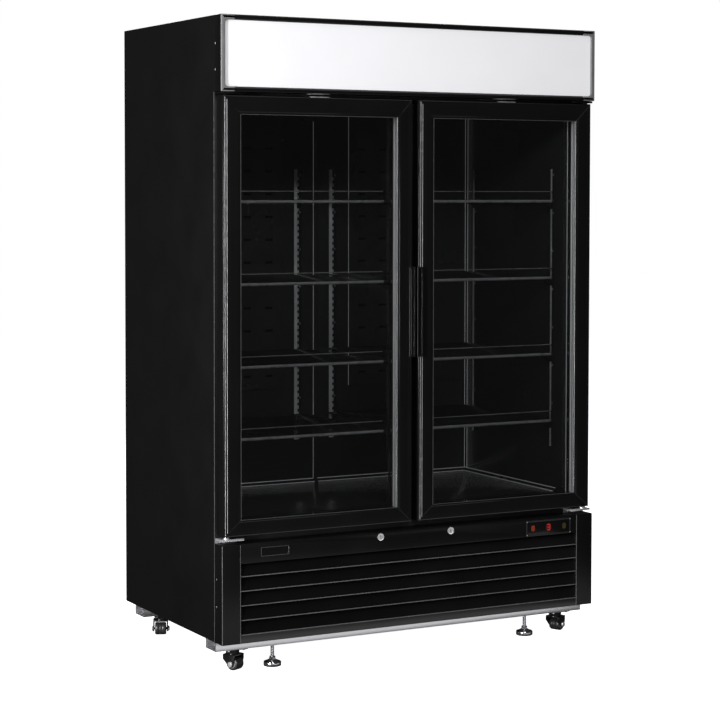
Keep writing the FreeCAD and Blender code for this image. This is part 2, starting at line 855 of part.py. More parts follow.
def fascia():
    across = ("-column_inner", "column_inner")
    start = FRONT + " + fascia_setback"
    up = ("fascia_bottom", "base_top")
    sheet = box("FasciaSheet", across, (start, start + " + fascia_sheet"), up)
    ledge = box("FasciaLedge", across, (start, FACE), ("base_top - fascia_sheet", "base_top"))
    shape = fuse("FasciaShape", [sheet, ledge])
    tools = []
    hole = "lock_barrel + pin_clearance"
    for side, tag in ((-1, "Left"), (1, "Right")):
        x = f"{side} * lock_offset"
        tools.append(cylinder(tag + "LockHole", hole, "trim_depth", x, FRONT, "lock_height", (1, 0, 0), -90))
        swing = side_range(side, "lock_offset - cam_width", "lock_offset + cam_length + cam_width")
        gap = (FRONT + " + lock_reach - cam_width", FRONT + " + lock_reach + cam_width")
        tools.append(box(tag + "CamGap", swing, gap, ("base_top - cam_width", "base_top + margin")))
    display = ("display_left + display_edge", "display_right - display_edge")
    window = ("display_bottom + display_edge", "display_top - display_edge")
    tools.append(box("DisplayHole", display, (FRONT, start + " + fascia_sheet + margin"), window))
    node(cut("Fascia", shape, tools), "fascia_panel")


def louvres():
    across = ("-column_inner", "column_inner")
    blade = box("BladeSheet", across, ("-blade_sheet", "0"), ("0", "blade_rise"))
    blade.Placement.Rotation = FreeCAD.Rotation(FreeCAD.Vector(1, 0, 0), -size("blade_slope"))
    place(blade, "-column_inner", "0", "0")
    lip = box("BladeLip", across, ("-blade_sheet", "blade_lip"), ("-blade_sheet", "blade_sheet"))
    one = fuse("Blade", [blade, lip])
    start = FRONT + " + fascia_setback + blade_sheet"
    pieces = []
    for i in range(BLADES):
        z = f"rail_top + blade_sheet + blade_pitch * {i}"
        pieces.append(copy_of(f"Blade{i}", one, "0", start, z))
    run = (FRONT + " + fascia_setback", FRONT + " + fascia_setback + grille_end")
    for side, tag in ((-1, "Left"), (1, "Right")):
        end = side_range(side, "column_inner - fascia_sheet", "column_inner")
        pieces.append(box(f"GrilleEnd{tag}", end, run, ("rail_top", "fascia_bottom")))
    node(fuse("LouvreGrille", pieces), "louvre_grille")


def locks():
    start = FRONT + " + lock_proud"
    about = {"axis": (1, 0, 0), "angle": -90}
    for side, tag in ((-1, "Left"), (1, "Right")):
        x = f"{side} * lock_offset"
        rose_thick = "fascia_setback - lock_proud - slip"
        rose = cylinder(tag + "LockRose", "lock_radius", rose_thick, x, start, "lock_height", **about)
        barrel = cylinder(tag + "LockBarrel", "lock_barrel", "lock_reach", x, start, "lock_height", **about)
        keyway = box(
            tag + "Keyway",
            (x + " - key_half_wide", x + " + key_half_wide"),
            (FRONT, FRONT + " + key_depth"),
            ("lock_height - key_half_tall", "lock_height + key_half_tall"),
        )
        across = side_range(side, "lock_offset", "lock_offset + cam_length")
        arm = (FRONT + " + lock_reach - cam_sheet", FRONT + " + lock_reach")
        cam = box(tag + "Cam", across, arm, ("lock_height - cam_width / 2", "lock_height + cam_width / 2"))
        whole = fuse(tag + "LockShape", [rose, barrel, cam])
        node(cut(tag + "Lock", whole, [keyway]), tag.lower() + "_lock")


def front_fittings():
    proud = FRONT + " + fitting_setback"
    sheet = FRONT + " + fascia_setback"
    up = ("display_bottom", "display_top")
    bezel = box("DisplayBezel", ("display_left", "display_right"), (proud, sheet), up)
    inside = "(display_edge + 2 * margin)"
    body = box(
        "DisplayBody",
        ("display_left + " + inside, "display_right - " + inside),
        (proud, FRONT + " + display_depth"),
        ("display_bottom + " + inside, "display_top - " + inside),
    )
    node(fuse("Display", [bezel, body]), "display_module")
    badge_up = ("badge_bottom", "badge_top")
    badge = plate("Badge", ("badge_left", "badge_right"), badge_up, proud, "fascia_setback - fitting_setback")
    node(badge, "badge_plate")
    floor = ("base_bottom", "base_bottom + sheet")
    pan = box("BasePanSheet", ("-(" + WALL + ")", WALL), (FACE, BACK + " - rear_sheet"), floor)
    rail_run = (FRONT + " + rail_setback", FACE)
    rail = box("BaseRail", ("-column_inner", "column_inner"), rail_run, ("base_bottom", "rail_top"))
    node(fuse("BasePan", [pan, rail]), "base_pan")


# ---------------------------------------------------------------- frame, casters and feet


def foot_holes():
    holes = []
    for i, side in enumerate((-1, 1)):
        x = f"{side} * foot_side"
        y = FRONT + " + foot_line"
        hole = ("stem_radius + pin_clearance", "foot_hole", x, y, "channel_bottom - margin")
        holes.append(cylinder(f"FootHole{i}", *hole))
    return holes


def base_channels():
    across = ("-channel_half", "channel_half")
    inner = ("-channel_half - margin", "channel_half + margin")
    pieces = []
    for line in ("channel_front", "channel_rear"):
        start = f"{FRONT} + {line}"
        stop = start + " + channel_width"
        outside = box(line.title() + "Outside", across, (start, stop), ("channel_bottom", "base_bottom"))
        hollow = box(
            line.title() + "Hollow",
            inner,
            (start + " + channel_wall", stop + " - channel_wall"),
            ("channel_bottom + channel_wall", "base_bottom - channel_wall"),
        )
        tools = [hollow] + (foot_holes() if line == "channel_front" else [])
        pieces.append(cut(line.title().replace("_", ""), outside, tools))
    node(group("BaseChannels", pieces), "base_channels")


def caster_plates():
    pieces = []
    for name, (side, line, _) in CASTER_TURNS.items():
        x, y = f"{side} * caster_side", f"{FRONT} + {line}"
        half = "caster_plate_half"
        flat = box(
            "Plate_" + name,
            (f"{x} - {half}", f"{x} + {half}"),
            (f"{y} - {half}", f"{y} + {half}"),
            ("channel_bottom - caster_plate", "channel_bottom"),
        )
        race = cylinder("Race_" + name, "race_radius", "channel_bottom - race_bottom", x, y, "race_bottom")
        pieces.append(fuse("CasterPlate_" + name, [flat, race]))
    node(group("CasterPlates", pieces), "caster_plates")


def fork():
    """One swivel fork about the Z axis through the origin, its wheel trailing to -Y."""
    legs_top = "fork_top - margin"
    pieces = [cylinder("ForkHead", "fork_crown", "fork_top - fork_head", "0", "0", "fork_head")]
    for i, side in enumerate((-1, 1)):
        leg = doc.addObject("PartDesign::Body", f"ForkLeg{i}")
        sketch = new_sketch(leg, f"ForkLegOutline{i}", "YZ_Plane")
        points = (
            ("fork_lead", legs_top),
            ("-fork_tail", legs_top),
            ("-fork_tail", "fork_head - leg_round"),
            ("-trail - leg_round", "wheel_radius - leg_round / 2"),
            ("-trail - leg_round / 2", "wheel_radius - leg_round"),
            ("-trail + leg_round / 2", "wheel_radius - leg_round"),
            ("-trail + leg_round", "wheel_radius - leg_round / 2"),
            ("fork_lead", "fork_head - leg_round"),
        )
        outline(sketch, points)
        pad(leg, sketch, f"ForkLegPad{i}", "fork_sheet")
        place(leg, f"{side} * (fork_half - fork_sheet / 2) - fork_sheet / 2")
        pieces.append(leg)
    across, run = ("-fork_half", "fork_half"), ("-fork_tail", "fork_lead")
    pieces.append(box("ForkTop", across, run, ("fork_head", legs_top)))
    half = "(fork_half + axle_overhang)"
    centre = ("-" + half, "-trail", "wheel_radius")
    pieces.append(cylinder("ForkAxle", "axle_radius", "2 * " + half, *centre, (0, 1, 0), 90))
    return fuse("Fork", pieces)


def wheel():
    """One caster wheel turned about Z, its middle at the origin."""
    bore = "axle_radius + pin_clearance"
    points = (
        (bore, "-wheel_half"),
        ("wheel_radius - wheel_round", "-wheel_half"),
        ("wheel_radius", "wheel_round - wheel_half"),
        ("wheel_radius", "wheel_half - wheel_round"),
        ("wheel_radius - wheel_round", "wheel_half"),
        (bore, "wheel_half"),
    )
    return turned("Wheel", points)


def casters():
    swivel = fork()
    roller = wheel()
    for name, (side, line, turn) in CASTER_TURNS.items():
        x, y = f"{side} * caster_side", f"{FRONT} + {line}"
        held = group("Fork_" + name, [copy_of("ForkCopy_" + name, swivel, x, y, "0", (0, 0, 1), turn)])
        node(held, "caster_fork_" + name)
        laid = copy_of("WheelLaid_" + name, roller, "0", "-trail", "wheel_radius", (0, 1, 0), 90)
        stood = group("WheelStood_" + name, [laid])
        turned_wheel = copy_of("WheelCopy_" + name, stood, x, y, "0", (0, 0, 1), turn)
        node(group("Wheel_" + name, [turned_wheel]), "caster_wheel_" + name)


def feet():
    points = (
        ("0", "0"),
        ("foot_radius - foot_toe", "0"),
        ("foot_radius", "foot_toe"),
        ("foot_radius", "foot_rim"),
        ("foot_radius - foot_slope", "foot_thick"),
        ("foot_nut", "foot_thick + foot_collar"),
        ("foot_nut", "foot_nut_top"),
        ("stem_radius", "foot_nut_top"),
        ("stem_radius", "stem_top"),
        ("0", "stem_top"),
    )
    foot = turned("Foot", points)
    for side, tag in ((-1, "left"), (1, "right")):
        copy = copy_of("Foot_" + tag, foot, f"{side} * foot_side", FRONT + " + foot_line", "0")
        node(group("Foot_" + tag + "_piece", [copy]), "levelling_foot_" + tag)


# ---------------------------------------------------------------- refrigeration


def condenser():
    across = ("coil_left", "coil_right")
    up = ("coil_bottom", "coil_top")
    start = FRONT + " + coil_front"
    shroud_start = start + " + coil_thick"
    coil = box("CondenserCoil", across, (start, shroud_start), up)
    shroud = box("CondenserShroud", across, (shroud_start, shroud_start + " + shroud_thick"), up)
    x, z = "(coil_left + coil_right) / 2", "(coil_bottom + coil_top) / 2"
    about = {"axis": (1, 0, 0), "angle": -90}
    ring_run = "shroud_thick + margin"
    ring = cylinder("ShroudHole", "fan_radius + fan_clear", ring_run, x, shroud_start, z, **about)
    shaft_start = shroud_start + " - margin"
    shaft = cylinder("FanMotor", "axle_radius", "shroud_thick", x, shaft_start, z, **about)
    node(fuse("Condenser", [coil, cut("ShroudBody", shroud, [ring]), shaft]), "condenser")
    fan_start = shroud_start + " + fan_gap"
    node(fan("Condenser", x, fan_start, z, "fan_radius", "fan_hub"), "condenser_fan")


def fan(tag, x, y, z, radius, hub):
    """An axial fan whose shaft bore runs along +Y from y."""
    chord = f"{radius} * 0.3"
    reach = (f"{hub} * 0.7", radius)
    flat = box(tag + "VaneFlat", reach, (f"-{chord}", chord), ("-vane_sheet", "vane_sheet"))
    lean = copy_of(tag + "VaneLean", flat, z="fan_thick / 2", axis=(1, 0, 0), angle=VANE_LEAN)
    leaning = group(tag + "Vane", [lean])
    pieces = [cylinder(tag + "Hub", hub, "fan_thick", "0", "0", "0")]
    for i in range(FAN_BLADES):
        pieces.append(copy_of(f"{tag}Vane{i}", leaning, "0", "0", "0", (0, 0, 1), 360 / FAN_BLADES * i))
    bore_length = "fan_thick + 2 * margin"
    bore = cylinder(tag + "Bore", "axle_radius + pin_clearance", bore_length, "0", "0", "-margin")
    whole = cut(tag + "FanBody", fuse(tag + "Blades", pieces), [bore])
    return group(tag + "Fan", [copy_of(tag + "FanCopy", whole, x, y, z, (1, 0, 0), -90)])


def compressor():
    points = (
        ("0", "0"),
        ("compressor_radius", "0"),
        ("compressor_radius", "compressor_body"),
        ("compressor_radius * 0.8", "compressor_body + dome_rise * 0.7"),
        ("compressor_radius * 0.4", "compressor_body + dome_rise * 0.95"),
        ("0", "compressor_body + dome_rise"),
    )
    dome = turned("CompressorDome", points)
    low = "base_bottom + sheet + compressor_foot"
    middle = FRONT + " + compressor_line"
    place(dome, "compressor_side", middle, low)
    reach = "(compressor_radius + base_margin)"
    inset = f"({reach} - base_margin)"
    pieces = [dome]
    for i, (a, b) in enumerate(((-1, -1), (1, -1), (-1, 1), (1, 1))):
        x = f"compressor_side + {a} * {inset}"
        y = f"{middle} + {b} * {inset}"
        tall = "compressor_foot + margin"
        pieces.append(cylinder(f"CompressorFoot{i}", "rubber_foot", tall, x, y, "base_bottom + sheet"))
    across = (f"compressor_side - {reach}", f"compressor_side + {reach}")
    run = (f"{middle} - {reach}", f"{middle} + {reach}")
    pieces.append(box("CompressorBase", across, run, (low, low + " + base_sheet")))
    node(fuse("Compressor", pieces), "compressor")


def machine_fittings():
    run = (FRONT + " + control_front", FRONT + " + control_front + control_depth")
    up = ("base_bottom + sheet", "control_top")
    node(box("ControlBox", ("control_left", "control_right"), run, up), "control_box")
    sheet = (BACK + " - rear_sheet", BACK)
    cover = box("RearSheet", ("-(" + WALL + ")", WALL), sheet, ("base_bottom", "base_top"))
    through = (BACK + " - rear_sheet - margin", BACK + " + margin")
    tools = []
    for i in range(-VENTS_EACH_SIDE, VENTS_EACH_SIDE + 1):
        across = (f"vent_pitch * {i} - vent_width / 2", f"vent_pitch * {i} + vent_width / 2")
        tools.append(box(f"Vent{i + VENTS_EACH_SIDE}", across, through, ("vent_bottom", "vent_top")))
    inlet = (("inlet_left", "inlet_right"), ("inlet_bottom", "inlet_top"))
    tools.append(box("InletHole", inlet[0], through, inlet[1]))
    node(cut("RearGrille", cover, tools), "rear_grille")
    body = box("InletBody", inlet[0], (BACK + " - inlet_depth", BACK), inlet[1])
    socket = box(
        "InletSocket",
        ("inlet_left + inlet_wall", "inlet_right - inlet_wall"),
        (BACK + " - inlet_depth + inlet_wall", BACK + " + margin"),
        ("inlet_bottom + inlet_wall", "inlet_top - inlet_wall"),
    )
    pins = []
    z = "(inlet_bottom + inlet_top) / 2"
    pin_run = (BACK + " - inlet_depth", BACK + " - inlet_wall")
    for i in (-1, 0, 1):
        x = f"(inlet_left + inlet_right) / 2 + inlet_pitch * {i}"
        across = (x + " - pin_half_wide", x + " + pin_half_wide")
        pin_up = (z + " - pin_half_tall", z + " + pin_half_tall")
        pins.append(box(f"InletPin{i + 1}", across, pin_run, pin_up))
    node(fuse("Inlet", [cut("InletShell", body, [socket])] + pins), "power_inlet")


def cooler():
    """The evaporator under the ceiling: its cover, its coil and its fan."""
    across = ("-cooler_half", "cooler_half")
    start = FRONT + " + cooler_front"
    front = box("CoolerFront", across, (start, start + " + cooler_sheet"), ("cooler_bottom", "ceiling"))
    tray_up = ("cooler_bottom", "cooler_bottom + cooler_sheet")
    low = box("CoolerTray", across, (start, INNER_BACK), tray_up)
    z = "(cooler_bottom + ceiling) / 2"
    about = {"axis": (1, 0, 0), "angle": -90}
    hole_run = "cooler_sheet + 2 * margin"
    hole = cylinder("CoolerHole", "cooler_fan + fan_clear", hole_run, "0", start + " - margin", z, **about)
    node(cut("CoolerCover", fuse("CoolerShape", [front, low]), [hole]), "evaporator_cover")
    face = FRONT + " + cooler_coil_front"
    run = (face, INNER_BACK + " - cooler_gap")
    up = ("cooler_bottom + cooler_sheet", "ceiling")
    coil = box("CoolerCoil", ("-cooler_coil_half", "cooler_coil_half"), run, up)
    shaft_start = face + " - cooler_shaft"
    shaft = cylinder("CoolerShaft", "axle_radius", "cooler_shaft", "0", shaft_start, z, **about)
    node(fuse("CoolerCoilBody", [coil, shaft]), "evaporator_coil")
    node(fan("Cooler", "0", shaft_start, z, "cooler_fan", "cooler_hub"), "evaporator_fan")


# ---------------------------------------------------------------- the whole


def build():
    fill_sheet()
    cabinet()
    duct_panels()
    liner_trims()
    strip = standard()
    shelf_standards(strip)
    shelf_clips(clip())
    shelves(shelf())
    canopy()
    doors()
    hinges()
    base_columns()
    fascia()
    louvres()
    locks()
    front_fittings()
    base_channels()
    caster_plates()
    casters()
    feet()
    condenser()
    compressor()
    machine_fittings()
    cooler()
    doc.recompute()


def check():
    failed = [item.Name for item in doc.Objects if {"Invalid", "Error"} & set(item.State)]
    for item in nodes:
        if item.Shape.isNull() or not item.Shape.isValid() or not item.Shape.Solids:
            failed.append(item.Label)
    if failed:
        raise SystemExit("these objects failed: " + ", ".join(failed))


def export():
    os.makedirs("parts", exist_ok=True)
    for item in nodes:
        item.Shape.exportStep(f"parts/{item.Label}.step")
    print(len(nodes), "nodes written")


build()
check()
export()
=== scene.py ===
"""The looks of a two-door glass display cooler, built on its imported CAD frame.

The cooler's doors face -Y and its floor is Z = 0. A helper named after a shape adds that shape to a mesh
under way, and a piece is finished by show(), which gives it its finish and the body that it rides on.
"""

import json
from math import cos, pi, radians, sin

import bmesh
import bpy
from mathutils import Matrix, Vector


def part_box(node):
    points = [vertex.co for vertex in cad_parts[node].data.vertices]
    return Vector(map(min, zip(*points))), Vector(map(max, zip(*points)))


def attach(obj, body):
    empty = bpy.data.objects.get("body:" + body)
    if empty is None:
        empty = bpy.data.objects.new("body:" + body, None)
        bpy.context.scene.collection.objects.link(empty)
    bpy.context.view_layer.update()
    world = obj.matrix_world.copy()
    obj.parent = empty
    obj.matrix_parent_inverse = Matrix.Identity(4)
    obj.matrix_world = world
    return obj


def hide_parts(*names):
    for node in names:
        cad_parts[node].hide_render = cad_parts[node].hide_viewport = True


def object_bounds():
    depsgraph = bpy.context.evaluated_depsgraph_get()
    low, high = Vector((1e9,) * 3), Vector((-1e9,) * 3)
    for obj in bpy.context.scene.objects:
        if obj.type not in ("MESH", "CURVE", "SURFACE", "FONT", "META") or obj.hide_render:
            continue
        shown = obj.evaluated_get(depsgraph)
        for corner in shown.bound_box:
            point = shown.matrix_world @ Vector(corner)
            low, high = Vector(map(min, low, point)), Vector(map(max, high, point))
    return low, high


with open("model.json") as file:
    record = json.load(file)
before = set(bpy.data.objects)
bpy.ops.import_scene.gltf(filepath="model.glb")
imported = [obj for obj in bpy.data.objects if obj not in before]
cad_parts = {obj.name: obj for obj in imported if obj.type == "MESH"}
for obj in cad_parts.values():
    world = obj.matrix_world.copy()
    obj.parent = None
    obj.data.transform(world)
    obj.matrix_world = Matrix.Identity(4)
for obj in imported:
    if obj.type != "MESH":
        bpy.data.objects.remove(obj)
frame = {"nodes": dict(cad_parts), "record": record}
cad_low, cad_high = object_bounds()

MM = 0.001
ROOT = "cabinet"
SIDES = (("left", -1), ("right", 1))
CORNERS = ("front_left", "front_right", "rear_left", "rear_right")
LEVELS = ("one", "two", "three", "four")
SHARP = radians(32)
JOINTS = {joint["name"]: joint for joint in frame["record"]["behaviour"]["joints"]}


# ---- finishes


def node_tree(name):
    material = bpy.data.materials.new(name)
    material.use_nodes = True
    tree = material.node_tree
    return material, tree, tree.nodes["Principled BSDF"]


def noise(tree, coordinates, scale, stretch=(1, 1, 1), detail=3.0):
    mapping = tree.nodes.new("ShaderNodeMapping")
    mapping.inputs["Scale"].default_value = stretch
    pattern = tree.nodes.new("ShaderNodeTexNoise")
    pattern.inputs["Scale"].default_value = scale
    pattern.inputs["Detail"].default_value = detail
    tree.links.new(coordinates, mapping.inputs["Vector"])
    tree.links.new(mapping.outputs["Vector"], pattern.inputs["Vector"])
    return pattern.outputs["Fac"]


def ramp(tree, factor, low, high):
    blend = tree.nodes.new("ShaderNodeValToRGB")
    first, last = blend.color_ramp.elements
    first.position, first.color = 0.3, (*low, 1)
    last.position, last.color = 0.7, (*high, 1)
    tree.links.new(factor, blend.inputs["Fac"])
    return blend.outputs["Color"]


def spread(tree, factor, low, high):
    mapped = tree.nodes.new("ShaderNodeMapRange")
    mapped.inputs["From Min"].default_value = 0.3
    mapped.inputs["From Max"].default_value = 0.7
    mapped.inputs["To Min"].default_value = low
    mapped.inputs["To Max"].default_value = high
    tree.links.new(factor, mapped.inputs["Value"])
    return mapped.outputs["Result"]


def tint(colour):
    """A grey level becomes a faintly cool colour, and a colour stays as it is."""
    return colour if isinstance(colour, tuple) else (colour, colour, colour * 1.03)


def finish(
    name, low, high, rough, metal=0.0, gloss=0.5, coat=0.0, scale=6.0, stretch=(1, 1, 1), grain=0.0, glow=0.0
):
    """A finish whose colour, between low and high, and roughness drift a little over the surface. grain is
    the size of its fine relief in cycles to the metre, and gloss is how much a plain surface mirrors."""
    low, high = tint(low), tint(high)
    material, tree, shader = node_tree(name)
    place = tree.nodes.new("ShaderNodeTexCoord").outputs["Object"]
    drift = noise(tree, place, scale, stretch)
    tree.links.new(ramp(tree, drift, low, high), shader.inputs["Base Color"])
    tree.links.new(spread(tree, drift, *rough), shader.inputs["Roughness"])
    shader.inputs["Metallic"].default_value = metal
    shader.inputs["Specular IOR Level"].default_value = gloss
    shader.inputs["Coat Weight"].default_value = coat
    shader.inputs["Coat Roughness"].default_value = 0.05
    if glow:
        shader.inputs["Emission Color"].default_value = (*high, 1)
        shader.inputs["Emission Strength"].default_value = glow
    if grain:
        relief = tree.nodes.new("ShaderNodeBump")
        relief.inputs["Strength"].default_value = 0.12
        relief.inputs["Distance"].default_value = 0.0002
        tree.links.new(noise(tree, place, grain, stretch, 2.0), relief.inputs["Height"])
        tree.links.new(relief.outputs["Normal"], shader.inputs["Normal"])
    return material


def clear_glass(name):
    """A flat pane: what is behind shows through it, and its faces mirror more at a shallow angle."""
    material, tree, shader = node_tree(name)
    tree.nodes.remove(shader)
    place = tree.nodes.new("ShaderNodeTexCoord").outputs["Object"]
    drift = noise(tree, place, 0.8)
    through = tree.nodes.new("ShaderNodeBsdfTransparent")
    tree.links.new(ramp(tree, drift, (0.94, 0.945, 0.945), (0.955, 0.96, 0.96)), through.inputs["Color"])
    mirror = tree.nodes.new("ShaderNodeBsdfGlossy")
    mirror.inputs["Color"].default_value = (1, 1, 1, 1)
    tree.links.new(spread(tree, drift, 0.0, 0.004), mirror.inputs["Roughness"])
    gloss = tree.nodes.new("ShaderNodeFresnel")
    gloss.inputs["IOR"].default_value = 1.3
    mixed = tree.nodes.new("ShaderNodeMixShader")
    tree.links.new(gloss.outputs["Fac"], mixed.inputs["Fac"])
    tree.links.new(through.outputs["BSDF"], mixed.inputs[1])
    tree.links.new(mirror.outputs["BSDF"], mixed.inputs[2])
    tree.links.new(mixed.outputs["Shader"], tree.nodes["Material Output"].inputs["Surface"])
    return material


UP = (60, 60, 1)
ALONG = (1, 60, 60)
FINISHES = {
    "outer_panel": finish("BlackSheet", 0.0020, 0.0026, (0.46, 0.52), gloss=0.22, grain=1400),
    "liner_panel": finish("LinerSheet", 0.0220, 0.0260, (0.18, 0.22), gloss=0.4),
    "liner_sheet": finish("DuctSheet", 0.0260, 0.0300, (0.24, 0.28), gloss=0.4),
    # edge_trim: a light trim colour, raised further and given a faint glow; the extra lightness and the glow
    # are a painted highlight for the light the trims mirror.
    "edge_trim": finish("EdgeTrimPaintedHighlight", 0.78, 0.88, (0.3, 0.4), metal=0.1, glow=0.07, stretch=ALONG, scale=40),
    "standard_steel": finish("StandardSteel", 0.60, 0.70, (0.3, 0.4), metal=0.3, stretch=UP, scale=40),
    "clip_steel": finish("ClipBlack", 0.006, 0.009, (0.2, 0.28)),
    "shelf_wire": finish("ShelfCoating", 0.006, 0.009, (0.14, 0.2), coat=0.4, scale=30),
    "canopy_black": finish("CanopyBlack", 0.0026, 0.0032, (0.26, 0.32), gloss=0.25, grain=1200),
    "sign_white": finish("SignAcrylic", 0.52, 0.54, (0.34, 0.4), glow=0.50),
    "lamp": finish("LampTube", 0.8, 0.86, (0.3, 0.4), glow=0.4),
    "front_black": finish("FrontBlack", 0.0024, 0.0030, (0.36, 0.42), gloss=0.15, grain=1400),
    "grille_black": finish("GrilleBlack", 0.0018, 0.0024, (0.32, 0.4), gloss=0.12, grain=1400),
    "display_face": finish("DisplayFace", 0.012, 0.016, (0.2, 0.26)),
    "badge": finish("BadgeMetal", 0.05, 0.08, (0.26, 0.34), metal=0.6, stretch=ALONG, scale=80),
    "pan_steel": finish("PanBlack", 0.008, 0.011, (0.34, 0.44), gloss=0.35, grain=1300),
    "frame_steel": finish("FrameSteel", 0.56, 0.66, (0.28, 0.4), metal=1, stretch=ALONG, scale=30),
    "compressor_black": finish("CompressorPaint", 0.012, 0.018, (0.3, 0.4), grain=700),
    "coil_fins": finish("CoilFins", 0.34, 0.46, (0.3, 0.4), metal=1, scale=30),
    "control_grey": finish("ControlGrey", 0.10, 0.13, (0.45, 0.55), grain=900),
    "rear_steel": finish("RearSteel", 0.16, 0.20, (0.3, 0.42), metal=1),
    "inlet_black": finish("InletPlastic", 0.010, 0.014, (0.4, 0.5), grain=900),
    "cooler_cover": finish("CoolerCover", 0.005, 0.007, (0.25, 0.32), gloss=0.4),
    "hinge_chrome": finish("HingeChrome", 0.72, 0.80, (0.20, 0.28), metal=0.75, scale=30),
    "lock_chrome": finish("LockChrome", 0.78, 0.86, (0.18, 0.24), metal=0.7, scale=60),
    "caster_plate": finish("CasterPlateBlack", 0.010, 0.016, (0.25, 0.35), scale=60),
    "caster_fork": finish("CasterForkBlack", 0.007, 0.012, (0.14, 0.24), coat=0.3, scale=60),
    "caster_wheel": finish("CasterTyre", 0.014, 0.030, (0.30, 0.45), scale=180, grain=800),
    "foot_chrome": finish("FootChrome", 0.64, 0.74, (0.14, 0.24), metal=1, scale=60),
    "door_frame": finish("DoorProfile", 0.0030, 0.0036, (0.20, 0.23), gloss=0.35),
    "door_glass": clear_glass("DoorGlass"),
    "door_spacer": finish("SpacerBar", 0.84, 0.90, (0.35, 0.45), metal=0.05, stretch=UP, scale=40),
    "door_gasket": finish("GasketRubber", 0.007, 0.010, (0.5, 0.6), gloss=0.3, grain=900),
    "door_handle": finish("HandleGloss", 0.0026, 0.0032, (0.22, 0.26), gloss=0.3, scale=20),
    "fan_black": finish("FanPlastic", 0.010, 0.014, (0.35, 0.45), grain=800),
}
CHROME = FINISHES["lock_chrome"]
DARK_RUBBER = FINISHES["door_gasket"]
LIT_RED = finish("LitRed", (0.30, 0.006, 0.006), (0.42, 0.012, 0.010), (0.3, 0.4), glow=0.8)
LIT_WINDOW = finish("LitWindow", (0.030, 0.001, 0.001), (0.045, 0.002, 0.002), (0.3, 0.4), glow=0.5)
LIT_ORANGE = finish("LitOrange", (0.08, 0.008, 0.002), (0.12, 0.014, 0.004), (0.3, 0.4), glow=0.5)
LIT_GREEN = finish("LitGreen", (0.012, 0.010, 0.002), (0.024, 0.020, 0.004), (0.3, 0.4), glow=0.5)
# A light finish for thin rods and beads along edges: a painted highlight where those edges would catch the
# light.
EDGE_PAINTED_HIGHLIGHT = finish("EdgePaintedHighlight", 0.08, 0.10, (0.22, 0.28), metal=0.3, scale=30)
# A near-black, unglossy finish for the sheets behind the duct slots: painted shade in the slots.
SLOT_PAINTED_SHADE = finish("SlotPaintedShade", 0.0002, 0.0005, (0.86, 0.94), gloss=0.02, scale=60)
# A light finish for the rods and strips on the folded side edges: a painted highlight where the folds catch
# the light.
FOLD_PAINTED_HIGHLIGHT = finish("FoldPaintedHighlight", 0.085, 0.11, (0.24, 0.3), metal=0.3, scale=30)
# A light finish for the beads on the doors' left edges: a painted highlight on their rounded edge.
BEAD_PAINTED_HIGHLIGHT = finish("BeadPaintedHighlight", 0.34, 0.42, (0.24, 0.3), metal=0.3, scale=30)
# A grey finish for the canopy's black plastic end caps: a painted reflection of the light they catch.
CAP_PAINTED_REFLECTION = finish("CapPaintedReflection", 0.11, 0.13, (0.35, 0.4), scale=30)
# A grey finish for the black shelves' front rods and guard bars: a painted highlight.
SHELF_ROD_PAINTED_HIGHLIGHT = finish("ShelfRodPaintedHighlight", 0.22, 0.30, (0.25, 0.35), gloss=0.5, scale=40)
COPPER = finish("CopperTube", (0.40, 0.16, 0.09), (0.52, 0.22, 0.13), (0.25, 0.4), metal=1, scale=40)
SLOT_OF = {part["node"]: part["material_slot"] for part in frame["record"]["subparts"]}


# ---- mesh helpers


